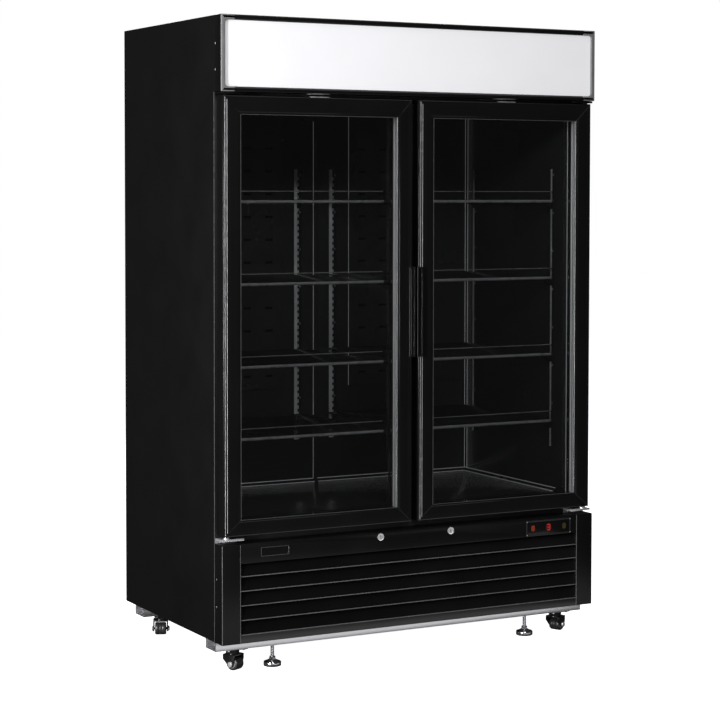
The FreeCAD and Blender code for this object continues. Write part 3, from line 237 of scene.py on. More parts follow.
class Mesh:
    """One piece's mesh under way, in metres in the row frame."""

    def __init__(self):
        self.bm = bmesh.new()

    def loft(self, loops, closed=False):
        """Joins equal loops with quads, and caps the ends unless closed joins the last to the first."""
        rings = [[self.bm.verts.new(point) for point in loop] for loop in loops]
        count = len(rings[0])
        pairs = list(zip(rings, rings[1:] + rings[:1]))
        for ring, after in pairs if closed else pairs[:-1]:
            for i in range(count):
                j = (i + 1) % count
                self.bm.faces.new((ring[i], ring[j], after[j], after[i]))
        if not closed:
            self.bm.faces.new(rings[0])
            self.bm.faces.new(reversed(rings[-1]))
        return self

    def block(self, low, high):
        (x0, y0, z0), (x1, y1, z1) = low, high
        floor = [(x0, y0), (x1, y0), (x1, y1), (x0, y1)]
        return self.loft([[(x, y, z) for x, y in floor] for z in (z0, z1)])

    def rod(self, start, end, radius, sides=14, tip=0.0):
        """A straight round bar with chamfered ends."""
        start, end = Vector(start), Vector(end)
        along = (end - start).normalized()
        stops = [(start, radius - tip), (start + along * tip, radius)]
        stops += [(end - along * tip, radius), (end, radius - tip)]
        if not tip:
            stops = [stops[0], stops[-1]]
        turn = along.to_track_quat("Z", "Y")
        return self.loft([circle(point, r, turn, sides) for point, r in stops])

    def bent(self, path, radius, sides=10):
        """A bent bar through the path's points."""
        points = [Vector(p) for p in path]
        loops = []
        for i, point in enumerate(points):
            before, after = points[max(i - 1, 0)], points[min(i + 1, len(points) - 1)]
            loops.append(circle(point, radius, (after - before).to_track_quat("Z", "Y"), sides))
        return self.loft(loops)

    def turned(self, outline, origin, axis=(0, 0, 1), sides=48):
        """A solid of revolution from (radius, height) points that start and end on the axis."""
        turn = Vector(axis).to_track_quat("Z", "Y")
        origin = Vector(origin)
        middle = outline[1:-1]
        rings = []
        for radius, height in middle:
            centre = origin + turn @ Vector((0, 0, height))
            rings.append([self.bm.verts.new(p) for p in circle(centre, radius, turn, sides)])
        for ring, after in zip(rings, rings[1:]):
            for i in range(sides):
                j = (i + 1) % sides
                self.bm.faces.new((ring[i], ring[j], after[j], after[i]))
        for ring, (_, height) in ((rings[0], outline[0]), (rings[-1], outline[-1])):
            tip = self.bm.verts.new(origin + turn @ Vector((0, 0, height)))
            for i in range(sides):
                self.bm.faces.new((ring[i], ring[(i + 1) % sides], tip))
        return self

    def ring(self, section, origin, axis=(0, 0, 1), sides=48):
        """A closed ring turned from a closed (radius, height along the axis) section."""
        turn = Vector(axis).to_track_quat("Z", "Y")
        loops = []
        for i in range(sides):
            spin = Matrix.Rotation(2 * pi * i / sides, 3, "Z")
            loops.append([Vector(origin) + turn @ (spin @ Vector((r, 0, h))) for r, h in section])
        return self.loft(loops, closed=True)


def circle(centre, radius, turn, sides):
    """Points of a circle about centre, in the plane that turn sends XY to."""
    points = []
    for i in range(sides):
        angle = 2 * pi * i / sides
        points.append(centre + turn @ Vector((radius * cos(angle), radius * sin(angle), 0)))
    return points


def soften(bm, width, segments=2):
    """Rounds the sharp edges of a mesh."""
    edges = [edge for edge in bm.edges if len(edge.link_faces) == 2 and edge.calc_face_angle(0) > SHARP]
    bmesh.ops.bevel(
        bm, geom=edges, offset=width, segments=segments, profile=0.5, affect="EDGES", clamp_overlap=True
    )


def show(mesh, name, body, slot, finish_of=None, soft=0.0, segments=2, replaces=()):
    """Turns the mesh into a piece with smooth faces between its sharp edges."""
    bm = mesh.bm
    bmesh.ops.recalc_face_normals(bm, faces=bm.faces)
    if soft:
        soften(bm, soft, segments)
    for face in bm.faces:
        face.smooth = True
    for edge in bm.edges:
        edge.smooth = len(edge.link_faces) == 2 and edge.calc_face_angle(0) < SHARP
    data = bpy.data.meshes.new(name)
    bm.to_mesh(data)
    bm.free()
    data.materials.append(finish_of or FINISHES[slot])
    piece = bpy.data.objects.new(name, data)
    bpy.context.scene.collection.objects.link(piece)
    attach(piece, body)
    if replaces:
        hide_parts(*replaces)
    return piece


def node_mesh(node):
    """The CAD node's mesh with its flat faces whole again."""
    mesh = Mesh()
    mesh.bm.from_mesh(frame["nodes"][node].data)
    bmesh.ops.remove_doubles(mesh.bm, verts=mesh.bm.verts, dist=1e-6)
    bmesh.ops.dissolve_limit(mesh.bm, angle_limit=0.01, verts=mesh.bm.verts, edges=mesh.bm.edges)
    return mesh


def softened(node, width, body=ROOT, segments=2, finish_of=None):
    """The CAD node with its sharp edges rounded."""
    mesh = node_mesh(node)
    show(mesh, node + "_rounded", body, SLOT_OF[node], finish_of, width, segments, (node,))


def rectangle_corners(outer, inner, share):
    """Corners of the rectangle that lies share of the way from outer to inner; each is (x0, z0, x1, z1)."""
    x0, z0, x1, z1 = (a + (b - a) * share for a, b in zip(outer, inner))
    return [Vector((x0, 0, z0)), Vector((x1, 0, z0)), Vector((x1, 0, z1)), Vector((x0, 0, z1))]


def mitred(mesh, outer, inner, section, nick=0.0, sides=(0, 1, 2, 3)):
    """Bars round a rectangle, cut at its diagonals. section is a closed list of (share of the width, depth),
    and nick is how far each cut end dips."""
    rings = [rectangle_corners(outer, inner, share) for share, _ in section]
    depths = [depth for _, depth in section]
    middle = (min(depths) + max(depths)) / 2
    for side in sides:
        loops = []
        for along in (0, 1):
            ends = []
            for ring, depth in zip(rings, depths):
                start, stop = ring[side], ring[(side + 1) % 4]
                way = (stop - start).normalized() * nick * 2
                low = depth + nick if depth < middle else depth
                dipped, full = Vector((0, low, 0)), Vector((0, depth, 0))
                if along == 0:
                    ends.append((start + way * 0.1 + dipped, start + way + full))
                else:
                    ends.append((stop - way + full, stop - way * 0.1 + dipped))
            loops += [[pair[0] for pair in ends], [pair[1] for pair in ends]]
        mesh.loft(loops if nick else [loops[0], loops[-1]])
    return mesh


def arc(centre, radius, start, stop, steps):
    """Points of an arc in the plane, from start to stop degrees."""
    points = []
    for i in range(steps + 1):
        angle = radians(start + (stop - start) * i / steps)
        points.append((centre[0] + radius * cos(angle), centre[1] + radius * sin(angle)))
    return points


def rounded_rectangle(x0, z0, x1, z1, radius, steps=6):
    """Outline of a rectangle with round corners."""
    corners = ((x1 - radius, z1 - radius, 0), (x0 + radius, z1 - radius, 90))
    corners += ((x0 + radius, z0 + radius, 180), (x1 - radius, z0 + radius, 270))
    points = []
    for x, z, start in corners:
        points += arc((x, z), radius, start, start + 90, steps)
    return points


def mm(points):
    """The points with their millimetres turned into metres."""
    return [(a * MM, b * MM) for a, b in points]


def flat(outline, y0, y1):
    """The two loops of a plate whose front has the given (x, z) outline."""
    return [[(x, y, z) for x, z in outline] for y in (y0, y1)]


def screw(mesh, at, axis, radius=3.6 * MM):
    """A pan-head screw with a recess, its head standing out along axis."""
    head = [(0, 0), (radius, 0), (radius, radius * 0.25), (radius * 0.8, radius * 0.52)]
    head += [(radius * 0.34, radius * 0.62), (radius * 0.22, radius * 0.3), (0, radius * 0.3)]
    mesh.turned(head, at, axis, sides=20)


def sunk_screw(mesh, at, axis, radius=3.0 * MM):
    """A countersunk screw, level with the surface but for a hair."""
    edge, well = 0.03 * MM, -0.8 * MM
    head = [(0, -MM), (radius, -MM), (radius, 0), (radius * 0.92, edge), (radius * 0.3, edge)]
    mesh.turned(head + [(radius * 0.22, well), (0, well)], at, axis, sides=20)


def hexagon_bolt(mesh, at, axis, radius, tall):
    turn = Vector(axis).to_track_quat("Z", "Y")
    stops = ((0, radius), (tall * 0.8, radius), (tall, radius * 0.86))
    mesh.loft([circle(Vector(at) + turn @ Vector((0, 0, height)), r, turn, 6) for height, r in stops])


# ---- camera, light and floor

# The camera was fitted to the cooler's edges. Its turns are in degrees.
CAMERA_AT = (-3.25207, -6.03458, 1.49736)
CAMERA_YAW, CAMERA_DOWN, CAMERA_ROLL = 28.5122, 2.4, 0.0856
CAMERA_LENS, CAMERA_SENSOR = 101.76, 36
CAMERA_SHIFT = (-0.0075, -0.11726)
# Name, place, target, width, height and watts.
SOFT_BOXES = (
    ("LeftStrip", (-3.4, -1.9, 1.3), (-0.5, -0.3, 1.1), 0.45, 2.6, 220),
    ("Overhead", (0.0, -0.6, 4.2), (0.0, 0.0, 0.0), 4.5, 4.5, 90),
    ("FrontHigh", (-1.5, -4.5, 3.4), (0.0, 0.0, 0.9), 2.0, 1.0, 80),
    ("RearFill", (2.0, 4.5, 3.2), (0.0, 0.3, 0.9), 2.5, 1.5, 90),
    ("FloorCard", (0.0, -0.76, 0.012), (0.0, -0.70, 1.0), 1.9, 0.55, 3.8),
)
ROOM_LIGHT, BACKDROP_LIGHT, FLOOR_GLOW = 0.045, 1.0, 1.1
FLOOR_RADIUS, FLOOR_THICK = 14, 0.01


def camera():
    data = bpy.data.cameras.new("Camera")
    data.lens, data.sensor_width = CAMERA_LENS, CAMERA_SENSOR
    data.shift_x, data.shift_y = CAMERA_SHIFT
    seen = bpy.data.objects.new("Camera", data)
    yaw, down, roll = (radians(turn) for turn in (CAMERA_YAW, CAMERA_DOWN, CAMERA_ROLL))
    level = Matrix.Rotation(-yaw, 4, "Z") @ Matrix.Rotation(pi / 2 - down, 4, "X")
    at = Matrix.Translation(CAMERA_AT)
    seen.matrix_world = at @ level @ Matrix.Rotation(roll, 4, "Z")
    bpy.context.scene.collection.objects.link(seen)
    bpy.context.scene.camera = seen


def soft_box(name, at, target, width, height, watts):
    data = bpy.data.lights.new(name, "AREA")
    data.shape, data.size, data.size_y, data.energy = "RECTANGLE", width, height, watts
    lamp = bpy.data.objects.new(name, data)
    lamp.location = at
    lamp.rotation_mode = "QUATERNION"
    lamp.rotation_quaternion = (Vector(target) - Vector(at)).to_track_quat("-Z", "Y")
    lamp.visible_camera = False
    bpy.context.scene.collection.objects.link(lamp)


def studio():
    """A white sweep with large soft lights round it. The floor stays out of the cooler's own reflections."""
    world = bpy.data.worlds.new("Studio")
    bpy.context.scene.world = world
    world.use_nodes = True
    nodes, links = world.node_tree.nodes, world.node_tree.links
    dim, backdrop = nodes["Background"], nodes.new("ShaderNodeBackground")
    for light, strength in ((dim, ROOM_LIGHT), (backdrop, BACKDROP_LIGHT)):
        light.inputs["Color"].default_value = (1, 1, 1, 1)
        light.inputs["Strength"].default_value = strength
    seen = nodes.new("ShaderNodeLightPath")
    either = nodes.new("ShaderNodeMixShader")
    links.new(seen.outputs["Is Camera Ray"], either.inputs["Fac"])
    links.new(dim.outputs["Background"], either.inputs[1])
    links.new(backdrop.outputs["Background"], either.inputs[2])
    links.new(either.outputs["Shader"], nodes["World Output"].inputs["Surface"])
    for box in SOFT_BOXES:
        soft_box(*box)
    floor = Mesh()
    edge = [(0, -FLOOR_THICK), (FLOOR_RADIUS, -FLOOR_THICK), (FLOOR_RADIUS, 0), (0, 0)]
    floor.turned(edge, (0, 0, 0), sides=96)
    data = bpy.data.meshes.new("Floor")
    floor.bm.to_mesh(data)
    floor.bm.free()
    data.materials.append(finish("FloorPale", 0.90, 0.92, (0.7, 0.8), scale=2, glow=FLOOR_GLOW))
    ground = bpy.data.objects.new("Floor", data)
    ground.visible_glossy = False
    ground.visible_diffuse = False
    bpy.context.scene.collection.objects.link(ground)
    bpy.context.scene.view_settings.view_transform = "Standard"


# ---- doors


def door(side):
    body = side + "_door"
    frame_low, frame_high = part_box(side + "_door_frame")
    outer, inner = front_of(side + "_door_frame"), front_of(side + "_door_glass")
    face, back = frame_low.y, frame_high.y
    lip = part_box(side + "_door_spacer")[0].y
    rim, wide = 5 * MM, 57 * MM
    groove = 1 - 6 * MM / wide
    section = [(0, back), (0, face + 14 * MM), (0.008, face + 13 * MM)]
    section += [(0.008, face + 10 * MM), (0, face + 9 * MM)]
    section += [((rim + x) / wide, face + rim + y) for x, y in arc((0, 0), rim, 180, 270, 6)]
    section += [(0.86, face), (0.875, face + 0.7 * MM), (0.96, face + 0.7 * MM), (1.0, face + 1.2 * MM)]
    section += [(1.0, lip), (groove, lip), (groove, back)]
    bars = mitred(Mesh(), outer, inner, section, nick=0.5 * MM)
    show(bars, side + "_door_profile", body, "door_frame", replaces=(side + "_door_frame",))
    spacer(side, body, inner, lip, back)
    # Rods inset from each door's side edges; those on the left edge are finished light as a painted
    # highlight, those on the right keep the profile's black.
    for name, x, way, look in (("left", frame_low.x, 1, BEAD_PAINTED_HIGHLIGHT), ("right", frame_high.x, -1, None)):
        edges = Mesh()
        for inset in (6 * MM, 13 * MM):
            line = (x + way * inset, face + 0.9 * MM)
            edges.rod((*line, frame_low.z + inset), (*line, frame_high.z - inset), 1.3 * MM, 10)
        show(edges, side + "_door_" + name + "_beads", body, "door_frame", look)
    # The glazing bead is finished light as a painted highlight along the glass's edge.
    start, stop = face + 0.3 * MM, face + 1.1 * MM
    bead = mitred(Mesh(), *grown(inner, 1.2 * MM, 0.0), [(0, start), (1, start), (1, stop), (0, stop)])
    show(bead, side + "_door_glazing_bead", body, "door_frame", EDGE_PAINTED_HIGHLIGHT)
    softened(side + "_door_gasket", 1.2 * MM, body)
    softened(side + "_door_handle", 0.8 * MM, body, segments=3)
    low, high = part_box(side + "_door_handle")
    # Rods on the handle's edges, finished light as a painted highlight: two on the left door, one on the
    # right.
    lines = Mesh()
    for inset in ((0.8 * MM, 6.6 * MM) if side == "left" else (0.8 * MM,)):
        line = (low.x + inset, low.y + 0.9 * MM)
        lines.rod((*line, low.z + 1 * MM + inset), (*line, high.z - 1 * MM - inset), 0.8 * MM, 10)
    show(lines, side + "_door_handle_painted_highlights", body, "door_handle", EDGE_PAINTED_HIGHLIGHT)


def grown(rectangle, outwards, inwards):
    """The rectangle grown by outwards, and the same shrunk by inwards."""
    x0, z0, x1, z1 = rectangle
    wide = (x0 - outwards, z0 - outwards, x1 + outwards, z1 + outwards)
    return wide, (x0 + inwards, z0 + inwards, x1 - inwards, z1 - inwards)


def front_of(node):
    """The node's front as a rectangle (x0, z0, x1, z1)."""
    low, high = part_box(node)
    return low.x, low.z, high.x, high.z


def spacer(side, body, opening, front, back):
    """The bars and dark seals between the panes, round the edge of the glass. The upright bars are light,
    while the top and bottom rails of the same bars take the black profile finish as painted shade.
    """
    outer, inner = grown(opening, 5.6 * MM, 0.0)
    mesh, level = Mesh(), Mesh()
    for start, stop in ((front + 0.2 * MM, front + 14 * MM), (front + 18 * MM, front + 28 * MM)):
        crown = (start + stop) / 2
        section = [(0, start), (0.85, start), (1.0, start + 1.2 * MM), (0.96, crown)]
        section += [(1.0, stop - 1.2 * MM), (0.85, stop), (0, stop)]
        mitred(mesh, outer, inner, section, 0.3 * MM, sides=(1, 3))
        mitred(level, outer, inner, section, 0.3 * MM, sides=(0, 2))
    show(mesh, side + "_door_spacer_bars", body, "door_spacer", replaces=(side + "_door_spacer",))
    # The top and bottom rails take the black profile finish as painted shade.
    show(level, side + "_door_spacer_rails_painted_shade", body, "door_spacer", FINISHES["door_frame"])
    seals = Mesh()
    for start, stop in ((front + 14 * MM, front + 18 * MM), (front + 28 * MM, back - 1 * MM)):
        mitred(seals, outer, inner, [(0, start), (0.72, start), (0.72, stop), (0, stop)])
    show(seals, side + "_door_spacer_seals", body, "door_gasket")


def hinge_screws():
    """Screws through the flanges of the four door hinges."""
    mesh = Mesh()
    for node in ("lower_hinges", "upper_hinges"):
        low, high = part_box(node)
        plate = low.z + 3 * MM if node == "lower_hinges" else high.z - 3.5 * MM
        for _, sign in SIDES:
            for inset in (16, 38, 60):
                at = (sign * (high.x - inset * MM), high.y - 3.2 * MM, plate)
                screw(mesh, at, (0, -1, 0), 2.6 * MM)
    show(mesh, "hinge_screws", ROOT, "hinge_chrome")


def catches():
    """The steel catch plates under the canopy, and the strike plates that face them on the doors."""
    mesh = Mesh()
    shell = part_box("canopy_shell")[0]
    for side, _ in SIDES:
        low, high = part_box(side + "_door_frame")
        middle, half, thick = (low.x + high.x) / 2, 33 * MM, 1.4 * MM
        front, back = low.y + 1 * MM, high.y - 6 * MM
        mesh.block((middle - half, front, shell.z - thick), (middle + half, back, shell.z + thick))
        strike = Mesh()
        strike.block((middle - half, front, high.z - thick), (middle + half, back, high.z + thick / 2))
        show(strike, side + "_door_strike_plate", side + "_door", "hinge_chrome", soft=0.4 * MM)
    show(mesh, "door_catch_plates", ROOT, "hinge_chrome", soft=0.4 * MM)


# ---- shelves


def shelves():
    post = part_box("centre_mullion")[1].x
    for level in LEVELS:
        shelf("shelves_level_" + level, post + 4 * MM)


def shelf(node, inside):
    """The two wire shelves of one level, with their front rods and the rods' rubber ends. The front rods and
    the guards' top bars are finished grey as a painted highlight on the black coating.
    """
    low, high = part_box(node)
    mesh, fronts, caps = Mesh(), Mesh(), Mesh()
    rod, wire, guard, bend, count = 5 * MM, 3 * MM, 2 * MM, 8 * MM, 46
    middle, front, rear, top = low.z + rod, low.y + rod, high.y - wire, high.z - guard
    for _, sign in SIDES:
        near, far = sign * inside, sign * high.x
        fronts.rod((near, front, middle), (far, front, middle), rod - 0.2 * MM, 20, tip=0.6 * MM)
        mesh.rod((near, rear, middle), (far, rear, middle), wire, tip=0.5 * MM)
        for share in (0.34, 0.67):
            y, under = front + (rear - front) * share, middle - 0.6 * MM
            mesh.rod((near + sign * wire, y, under), (far - sign * wire, y, under), 2.4 * MM)
        for i in range(count + 1):
            x = near + sign * wire + (far - near - 2 * sign * wire) * i / count
            thick = wire if i in (0, count) else 1.5 * MM
            height = middle if i in (0, count) else middle + 2.2 * MM
            mesh.bent([(x, front, height), (x, front + 3 * MM, height), (x, rear, height)], thick, 8)
        start, stop = near + sign * guard, far - sign * guard
        fronts.rod((start + sign * bend, front, top), (stop - sign * bend, front, top), guard - 0.8 * MM, 10)
        for end, way in ((start, sign), (stop, -sign)):
            corner = (end + way * bend * 0.3, front, top - bend * 0.3)
            path = [(end, front, middle), (end, front, top - bend), corner, (end + way * bend, front, top)]
            mesh.bent(path, guard - 0.3 * MM, 10)
        for end, way in ((near, sign), (far, -sign)):
            caps.rod((end, front, middle), (end + way * 9 * MM, front, middle), rod, 20, tip=0.8 * MM)
    show(mesh, node + "_wires", ROOT, "shelf_wire", replaces=(node,))
    show(fronts, node + "_front_rods_painted_highlight", ROOT, "shelf_wire", SHELF_ROD_PAINTED_HIGHLIGHT)
    show(caps, node + "_rod_ends", ROOT, "shelf_wire", DARK_RUBBER)


# ---- lining of the cold space


def standards():
    """The slotted shelf standards: strips with a ridge on each side of a line of square slots. One ridge and
    the bars between the slots are finished light as a painted highlight, the other ridge black as painted
    shade.
    """
    low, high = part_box("shelf_standards")
    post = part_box("centre_mullion")[1].y
    front_row, rear_row, rear_pair = cad_low.y + 146 * MM, cad_low.y + 650 * MM, 68.6 * MM
    meshes, screws = (Mesh(), Mesh()), Mesh()
    for sign in (-1, 1):
        upright(meshes, screws, (sign * rear_pair, high.y), (0, -1), low.z, high.z)
        for row in (front_row, rear_row):
            upright(meshes, screws, (sign * high.x, row), (-sign, 0), low.z, high.z)
    upright(meshes, screws, (0, post), (0, 1), low.z, high.z)
    show(meshes[1], "shelf_standard_ridges_painted_highlight", ROOT, "standard_steel", replaces=("shelf_standards",))
    show(meshes[0], "shelf_standard_ridges_painted_shade", ROOT, "standard_steel", FINISHES["pan_steel"])
    show(screws, "shelf_standard_screws", ROOT, "standard_steel", CHROME)


def upright(meshes, screws, foot, out, low, high):
    """One standard that stands with its back at foot and faces out, both in plan. Its second mesh is the
    ridge and slot bars painted light as a highlight, its first the other ridge painted dark as shade."""
    outward = Vector((out[0], out[1], 0))
    across = Vector((out[1], -out[0], 0))
    base = Vector((foot[0], foot[1], 0))
    pitch, slot, slots, first = 21.6 * MM, 10 * MM, 42, low + 10.8 * MM
    screw_pitch, screw_count, screw_top = 6 * pitch, 7, high - 20 * MM

    def bar(mesh, section, z0, z1):
        points = [base + across * (x * MM) + outward * (y * MM) for x, y in section]
        mesh.loft([[point + Vector((0, 0, z)) for point in points] for z in (z0, z1)])

    for way, mesh in zip((-1, 1), meshes):
        ridge = [(14, 0), (14, 0.8), (12, 1.4), (4, 5), (3, 4.6), (3, 0)]
        bar(mesh, [(x * way, y) for x, y in ridge], low, high)
    stops = [low] + [first + pitch * i for i in range(slots + 1)]
    for i, stop in enumerate(stops[:-1]):
        start = stop if i == 0 else stop + slot
        bar(meshes[1], [(-3, 0.4), (3, 0.4), (3, 3), (-3, 3)], start, min(stops[i + 1], high))
    for i in range(screw_count):
        at = base - across * (7 * MM) + outward * (3.2 * MM) + Vector((0, 0, screw_top - screw_pitch * i))
        screw(screws, at, outward, 3.8 * MM)


def seam_cover():
    """The strip over the seam of the back wall."""
    low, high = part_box("liner_trims")
    half, lip, sheet = 8 * MM, 3 * MM, 6 * MM
    plan = [(-half, high.y), (-half, high.y - lip), (-half + lip, high.y - sheet)]
    plan += [(half - lip, high.y - sheet), (half, high.y - lip), (half, high.y)]
    cover = Mesh().loft([[(x, y, z) for x, y in plan] for z in (low.z, high.z)])
    show(cover, "back_seam_cover", ROOT, "liner_panel")


def corner_trims():
    """The angles round the floor, and light rods along them and up the rear corners and the seam, which are
    painted highlights.
    """
    low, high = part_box("liner_trims")
    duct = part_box("duct_panels")[0].y
    half, edge, thin = 8 * MM, 12 * MM, 1.3 * MM
    angles, highlight_rods = Mesh(), Mesh()
    steps = [(0, 0), (1, 0), (1, 0.16), (0.84, 0.2), (0.3, 0.3), (0.2, 0.84), (0.16, 1), (0, 1)]
    for sign in (-1, 1):
        wall = sign * high.x
        across, along = (sign * half, wall), (low.y, high.y - edge)
        angles.loft([[(x, high.y - a * edge, low.z + b * edge) for a, b in steps] for x in across])
        angles.loft([[(wall - sign * a * edge, y, low.z + b * edge) for a, b in steps] for y in along])
        for out, up in ((0.92, 0.12), (0.12, 0.98)):
            x, y, z = wall - sign * out * edge, high.y - out * edge, low.z + up * edge
            highlight_rods.rod((sign * half, y, z), (x, y, z), thin, 8)
            highlight_rods.rod((x, low.y, z), (x, y, z), thin, 8)
        for out, ahead in ((7, 1.2), (1.4, 9)):
            line = (wall - sign * out * MM, duct - ahead * MM)
            highlight_rods.rod((*line, low.z + edge), (*line, high.z), thin, 8)
    seam = (-half - 0.6 * MM, high.y - 3 * MM)
    highlight_rods.rod((*seam, low.z + edge), (*seam, high.z), 1.1 * MM, 8)
    show(angles, "floor_corner_angles", ROOT, "edge_trim", FINISHES["liner_sheet"])
    show(highlight_rods, "floor_corner_painted_highlights", ROOT, "edge_trim", replaces=("liner_trims",))


def drain_bracket():
    back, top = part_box("liner_trims")[1].y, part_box("evaporator_cover")[0].z
    shape = [(x, top + z) for x, z in mm([(-58, -22), (-14, -22), (-14, 0), (-70, 0)])]
    bracket = Mesh().loft(flat(shape, back - 34 * MM, back))
    show(bracket, "drain_bracket", ROOT, "liner_panel", FINISHES["clip_steel"], soft=1.5 * MM)


def ducts():
    """The folded inner edges of the duct panels, and near-black sheets behind their slots that are painted
    shade.
    """
    low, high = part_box("duct_panels")
    edge, inset, fold, face = 129 * MM, 6 * MM, low.y + 0.8 * MM, low.y + 2 * MM
    for side, sign in SIDES:
        line = Mesh().rod((sign * edge, fold, low.z), (sign * edge, fold, high.z), 1.1 * MM, 8)
        # The right duct edge line is light as a painted highlight; the left one takes the duct sheet's colour
        # as painted shade.
        look = FINISHES["liner_sheet"] if side == "left" else None
        show(line, side + "_duct_edge", ROOT, "edge_trim", look)
        near, far = sorted((sign * (edge + inset), sign * (high.x - inset)))
        shade_sheet = Mesh().block((near, face, low.z + inset), (far, face + 1 * MM, high.z - inset))
        show(shade_sheet, side + "_duct_painted_shade_sheet", ROOT, "liner_sheet", SLOT_PAINTED_SHADE, soft=0.2 * MM)


def fascia_seal():
    """The rubber strip that closes the joint between the fascia and the cold box's floor."""
    low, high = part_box("fascia_panel")
    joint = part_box("floor_panel")[0].z
    seal = Mesh()
    seal.block((low.x, high.y - 1.5 * MM, joint - 30 * MM), (high.x, high.y + 12 * MM, joint + 2 * MM))
    show(seal, "fascia_seal", ROOT, "door_gasket", DARK_RUBBER, soft=0.5 * MM)


def liner_skins():
    """The glossy sheets that face the cold space, on the inside of the foamed walls."""
    low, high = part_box("liner_trims")
    front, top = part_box("centre_mullion")[0].y + 6 * MM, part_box("evaporator_cover")[0].z
    thin = 0.6 * MM
    back = Mesh().block((low.x, high.y - thin, low.z), (high.x, high.y, top))
    show(back, "liner_back_skin", ROOT, "liner_panel", soft=0.2 * MM)
    for side, sign in SIDES:
        near, far = sorted((sign * high.x, sign * (high.x - thin)))
        skin = Mesh().block((near, front, low.z), (far, high.y, top))
        show(skin, side + "_liner_skin", ROOT, "liner_panel", soft=0.2 * MM)


def jambs():
    """Thin light strips on the cabinet's front edges, where the door seals close, whose glow is a painted
    highlight.
    """
    mesh = Mesh()
    post_low, post_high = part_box("centre_mullion")
    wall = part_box("floor_panel")[1].x
    for sign in (-1, 1):
        for x, way in ((sign * post_high.x, sign), (sign * wall, -sign)):
            near, far = sorted((x - way * 0.4 * MM, x + way * 0.9 * MM))
            mesh.block((near, post_low.y + 0.4 * MM, post_low.z), (far, post_low.y + 3.4 * MM, post_high.z))
    show(mesh, "door_jamb_trims", ROOT, "edge_trim", soft=0.3 * MM)


# ---- canopy


def canopy():
    low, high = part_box("canopy_bezel")
    _, opening = grown(front_of("canopy_sign"), 0.0, 4 * MM)
    outer = front_of("canopy_bezel")
    face, back = low.y, high.y
    roll = 4 * MM
    width = high.z - opening[3]
    section = [(0, back)] + [((roll + x) / width, face + roll + y) for x, y in arc((0, 0), roll, 180, 270, 5)]
    section += [(0.66, face), (0.72, face + 0.6 * MM), (1.0, face + 5.5 * MM), (1.0, back)]
    rails = mitred(Mesh(), outer, opening, section, sides=(0, 2))
    show(rails, "canopy_bezel_rails", ROOT, "canopy_black", replaces=("canopy_bezel",))
    for side, sign in SIDES:
        end_cap(side, sign, outer, opening, face, back)
    side_screws("canopy_screws", "canopy_shell", (0.29, 0.63), 37 * MM, 3.6 * MM)


def side_screws(name, node, shares, depth, radius):
    """Countersunk screws in both sides of the node, at shares of its height."""
    mesh = Mesh()
    low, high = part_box(node)
    for sign in (-1, 1):
        for share in shares:
            z = low.z + (high.z - low.z) * share
            sunk_screw(mesh, (sign * high.x, low.y + depth, z), (sign, 0, 0), radius)
    show(mesh, name, ROOT, "hinge_chrome")


def end_cap(side, sign, outer, opening, face, back):
    """The light box's moulded end: an upright with a leg along each rail and a rounded corner inside. Its
    black plastic is finished grey as a painted reflection.
    """
    x_out, x_in = sign * outer[2], sign * opening[2]
    leg, radius = 46 * MM, 10 * MM
    (z0, z1), (b0, b1) = outer[1::2], opening[1::2]
    reach = x_out - sign * leg
    centre = x_in - sign * radius
    across, down = (0, -90) if sign > 0 else (180, 270)
    upper = arc((centre, b1 - radius), radius, 90, across, 6)
    lower = arc((centre, b0 + radius), radius, across, down, 6)
    ends = [(reach, b0), (reach, z0), (x_out, z0), (x_out, z1), (reach, z1)]
    outline = [(reach, b1)] + upper + lower + ends
    mesh = Mesh().loft(flat(outline, face, back))
    show(mesh, side + "_canopy_end_cap", ROOT, "canopy_black", CAP_PAINTED_REFLECTION, soft=2.6 * MM, segments=4)


# ---- lower front


def display():
    """The controller: a frame round a dark panel with two lit buttons and a one-digit read-out."""
    low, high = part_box("display_module")
    proud = low.y
    outer, inner = grown(front_of("display_module"), 0.0, 5 * MM)
    back = proud + 2.4 * MM
    section = [(0, back), (0, proud + 0.5 * MM), (0.14, proud), (0.8, proud)]
    section += [(1, proud + 0.7 * MM), (1, back)]
    surround = mitred(Mesh(), outer, inner, section)
    show(surround, "display_surround", ROOT, "display_face", replaces=("display_module",))
    panel = Mesh()
    panel.block((inner[0], proud + 1 * MM, inner[1]), (inner[2], back, inner[3]))
    panel.block((low.x + 10 * MM, back, low.z + 10 * MM), (high.x - 10 * MM, high.y, high.z - 10 * MM))
    show(panel, "display_panel", ROOT, "display_face", FINISHES["door_handle"], soft=0.5 * MM)
    level = (low.z + high.z) / 2
    start, stop = proud + 0.5 * MM, proud + 1.4 * MM
    lights = (("set", 0.15, 7, LIT_ORANGE), ("lamp", 0.85, 7, LIT_GREEN), ("window", 0.5, 10, LIT_WINDOW))
    for name, share, half, lit in lights:
        x, wide, tall = low.x + (high.x - low.x) * share, half * MM, (half + 3) * MM
        shape = rounded_rectangle(x - wide, level - tall, x + wide, level + tall, wide * 0.9)
        show(Mesh().loft(flat(shape, start + 0.3 * MM, stop)), "display_" + name, ROOT, "display_face", lit)
    digit(Mesh(), (low.x + high.x) / 2, level, start, stop)
    screws = Mesh()
    for x in (low.x + 3.2 * MM, high.x - 3.2 * MM):
        for z in (low.z + 4 * MM, high.z - 4 * MM):
            sunk_screw(screws, (x, proud, z), (0, -1, 0), 1.6 * MM)
    show(screws, "display_screws", ROOT, "lock_chrome")


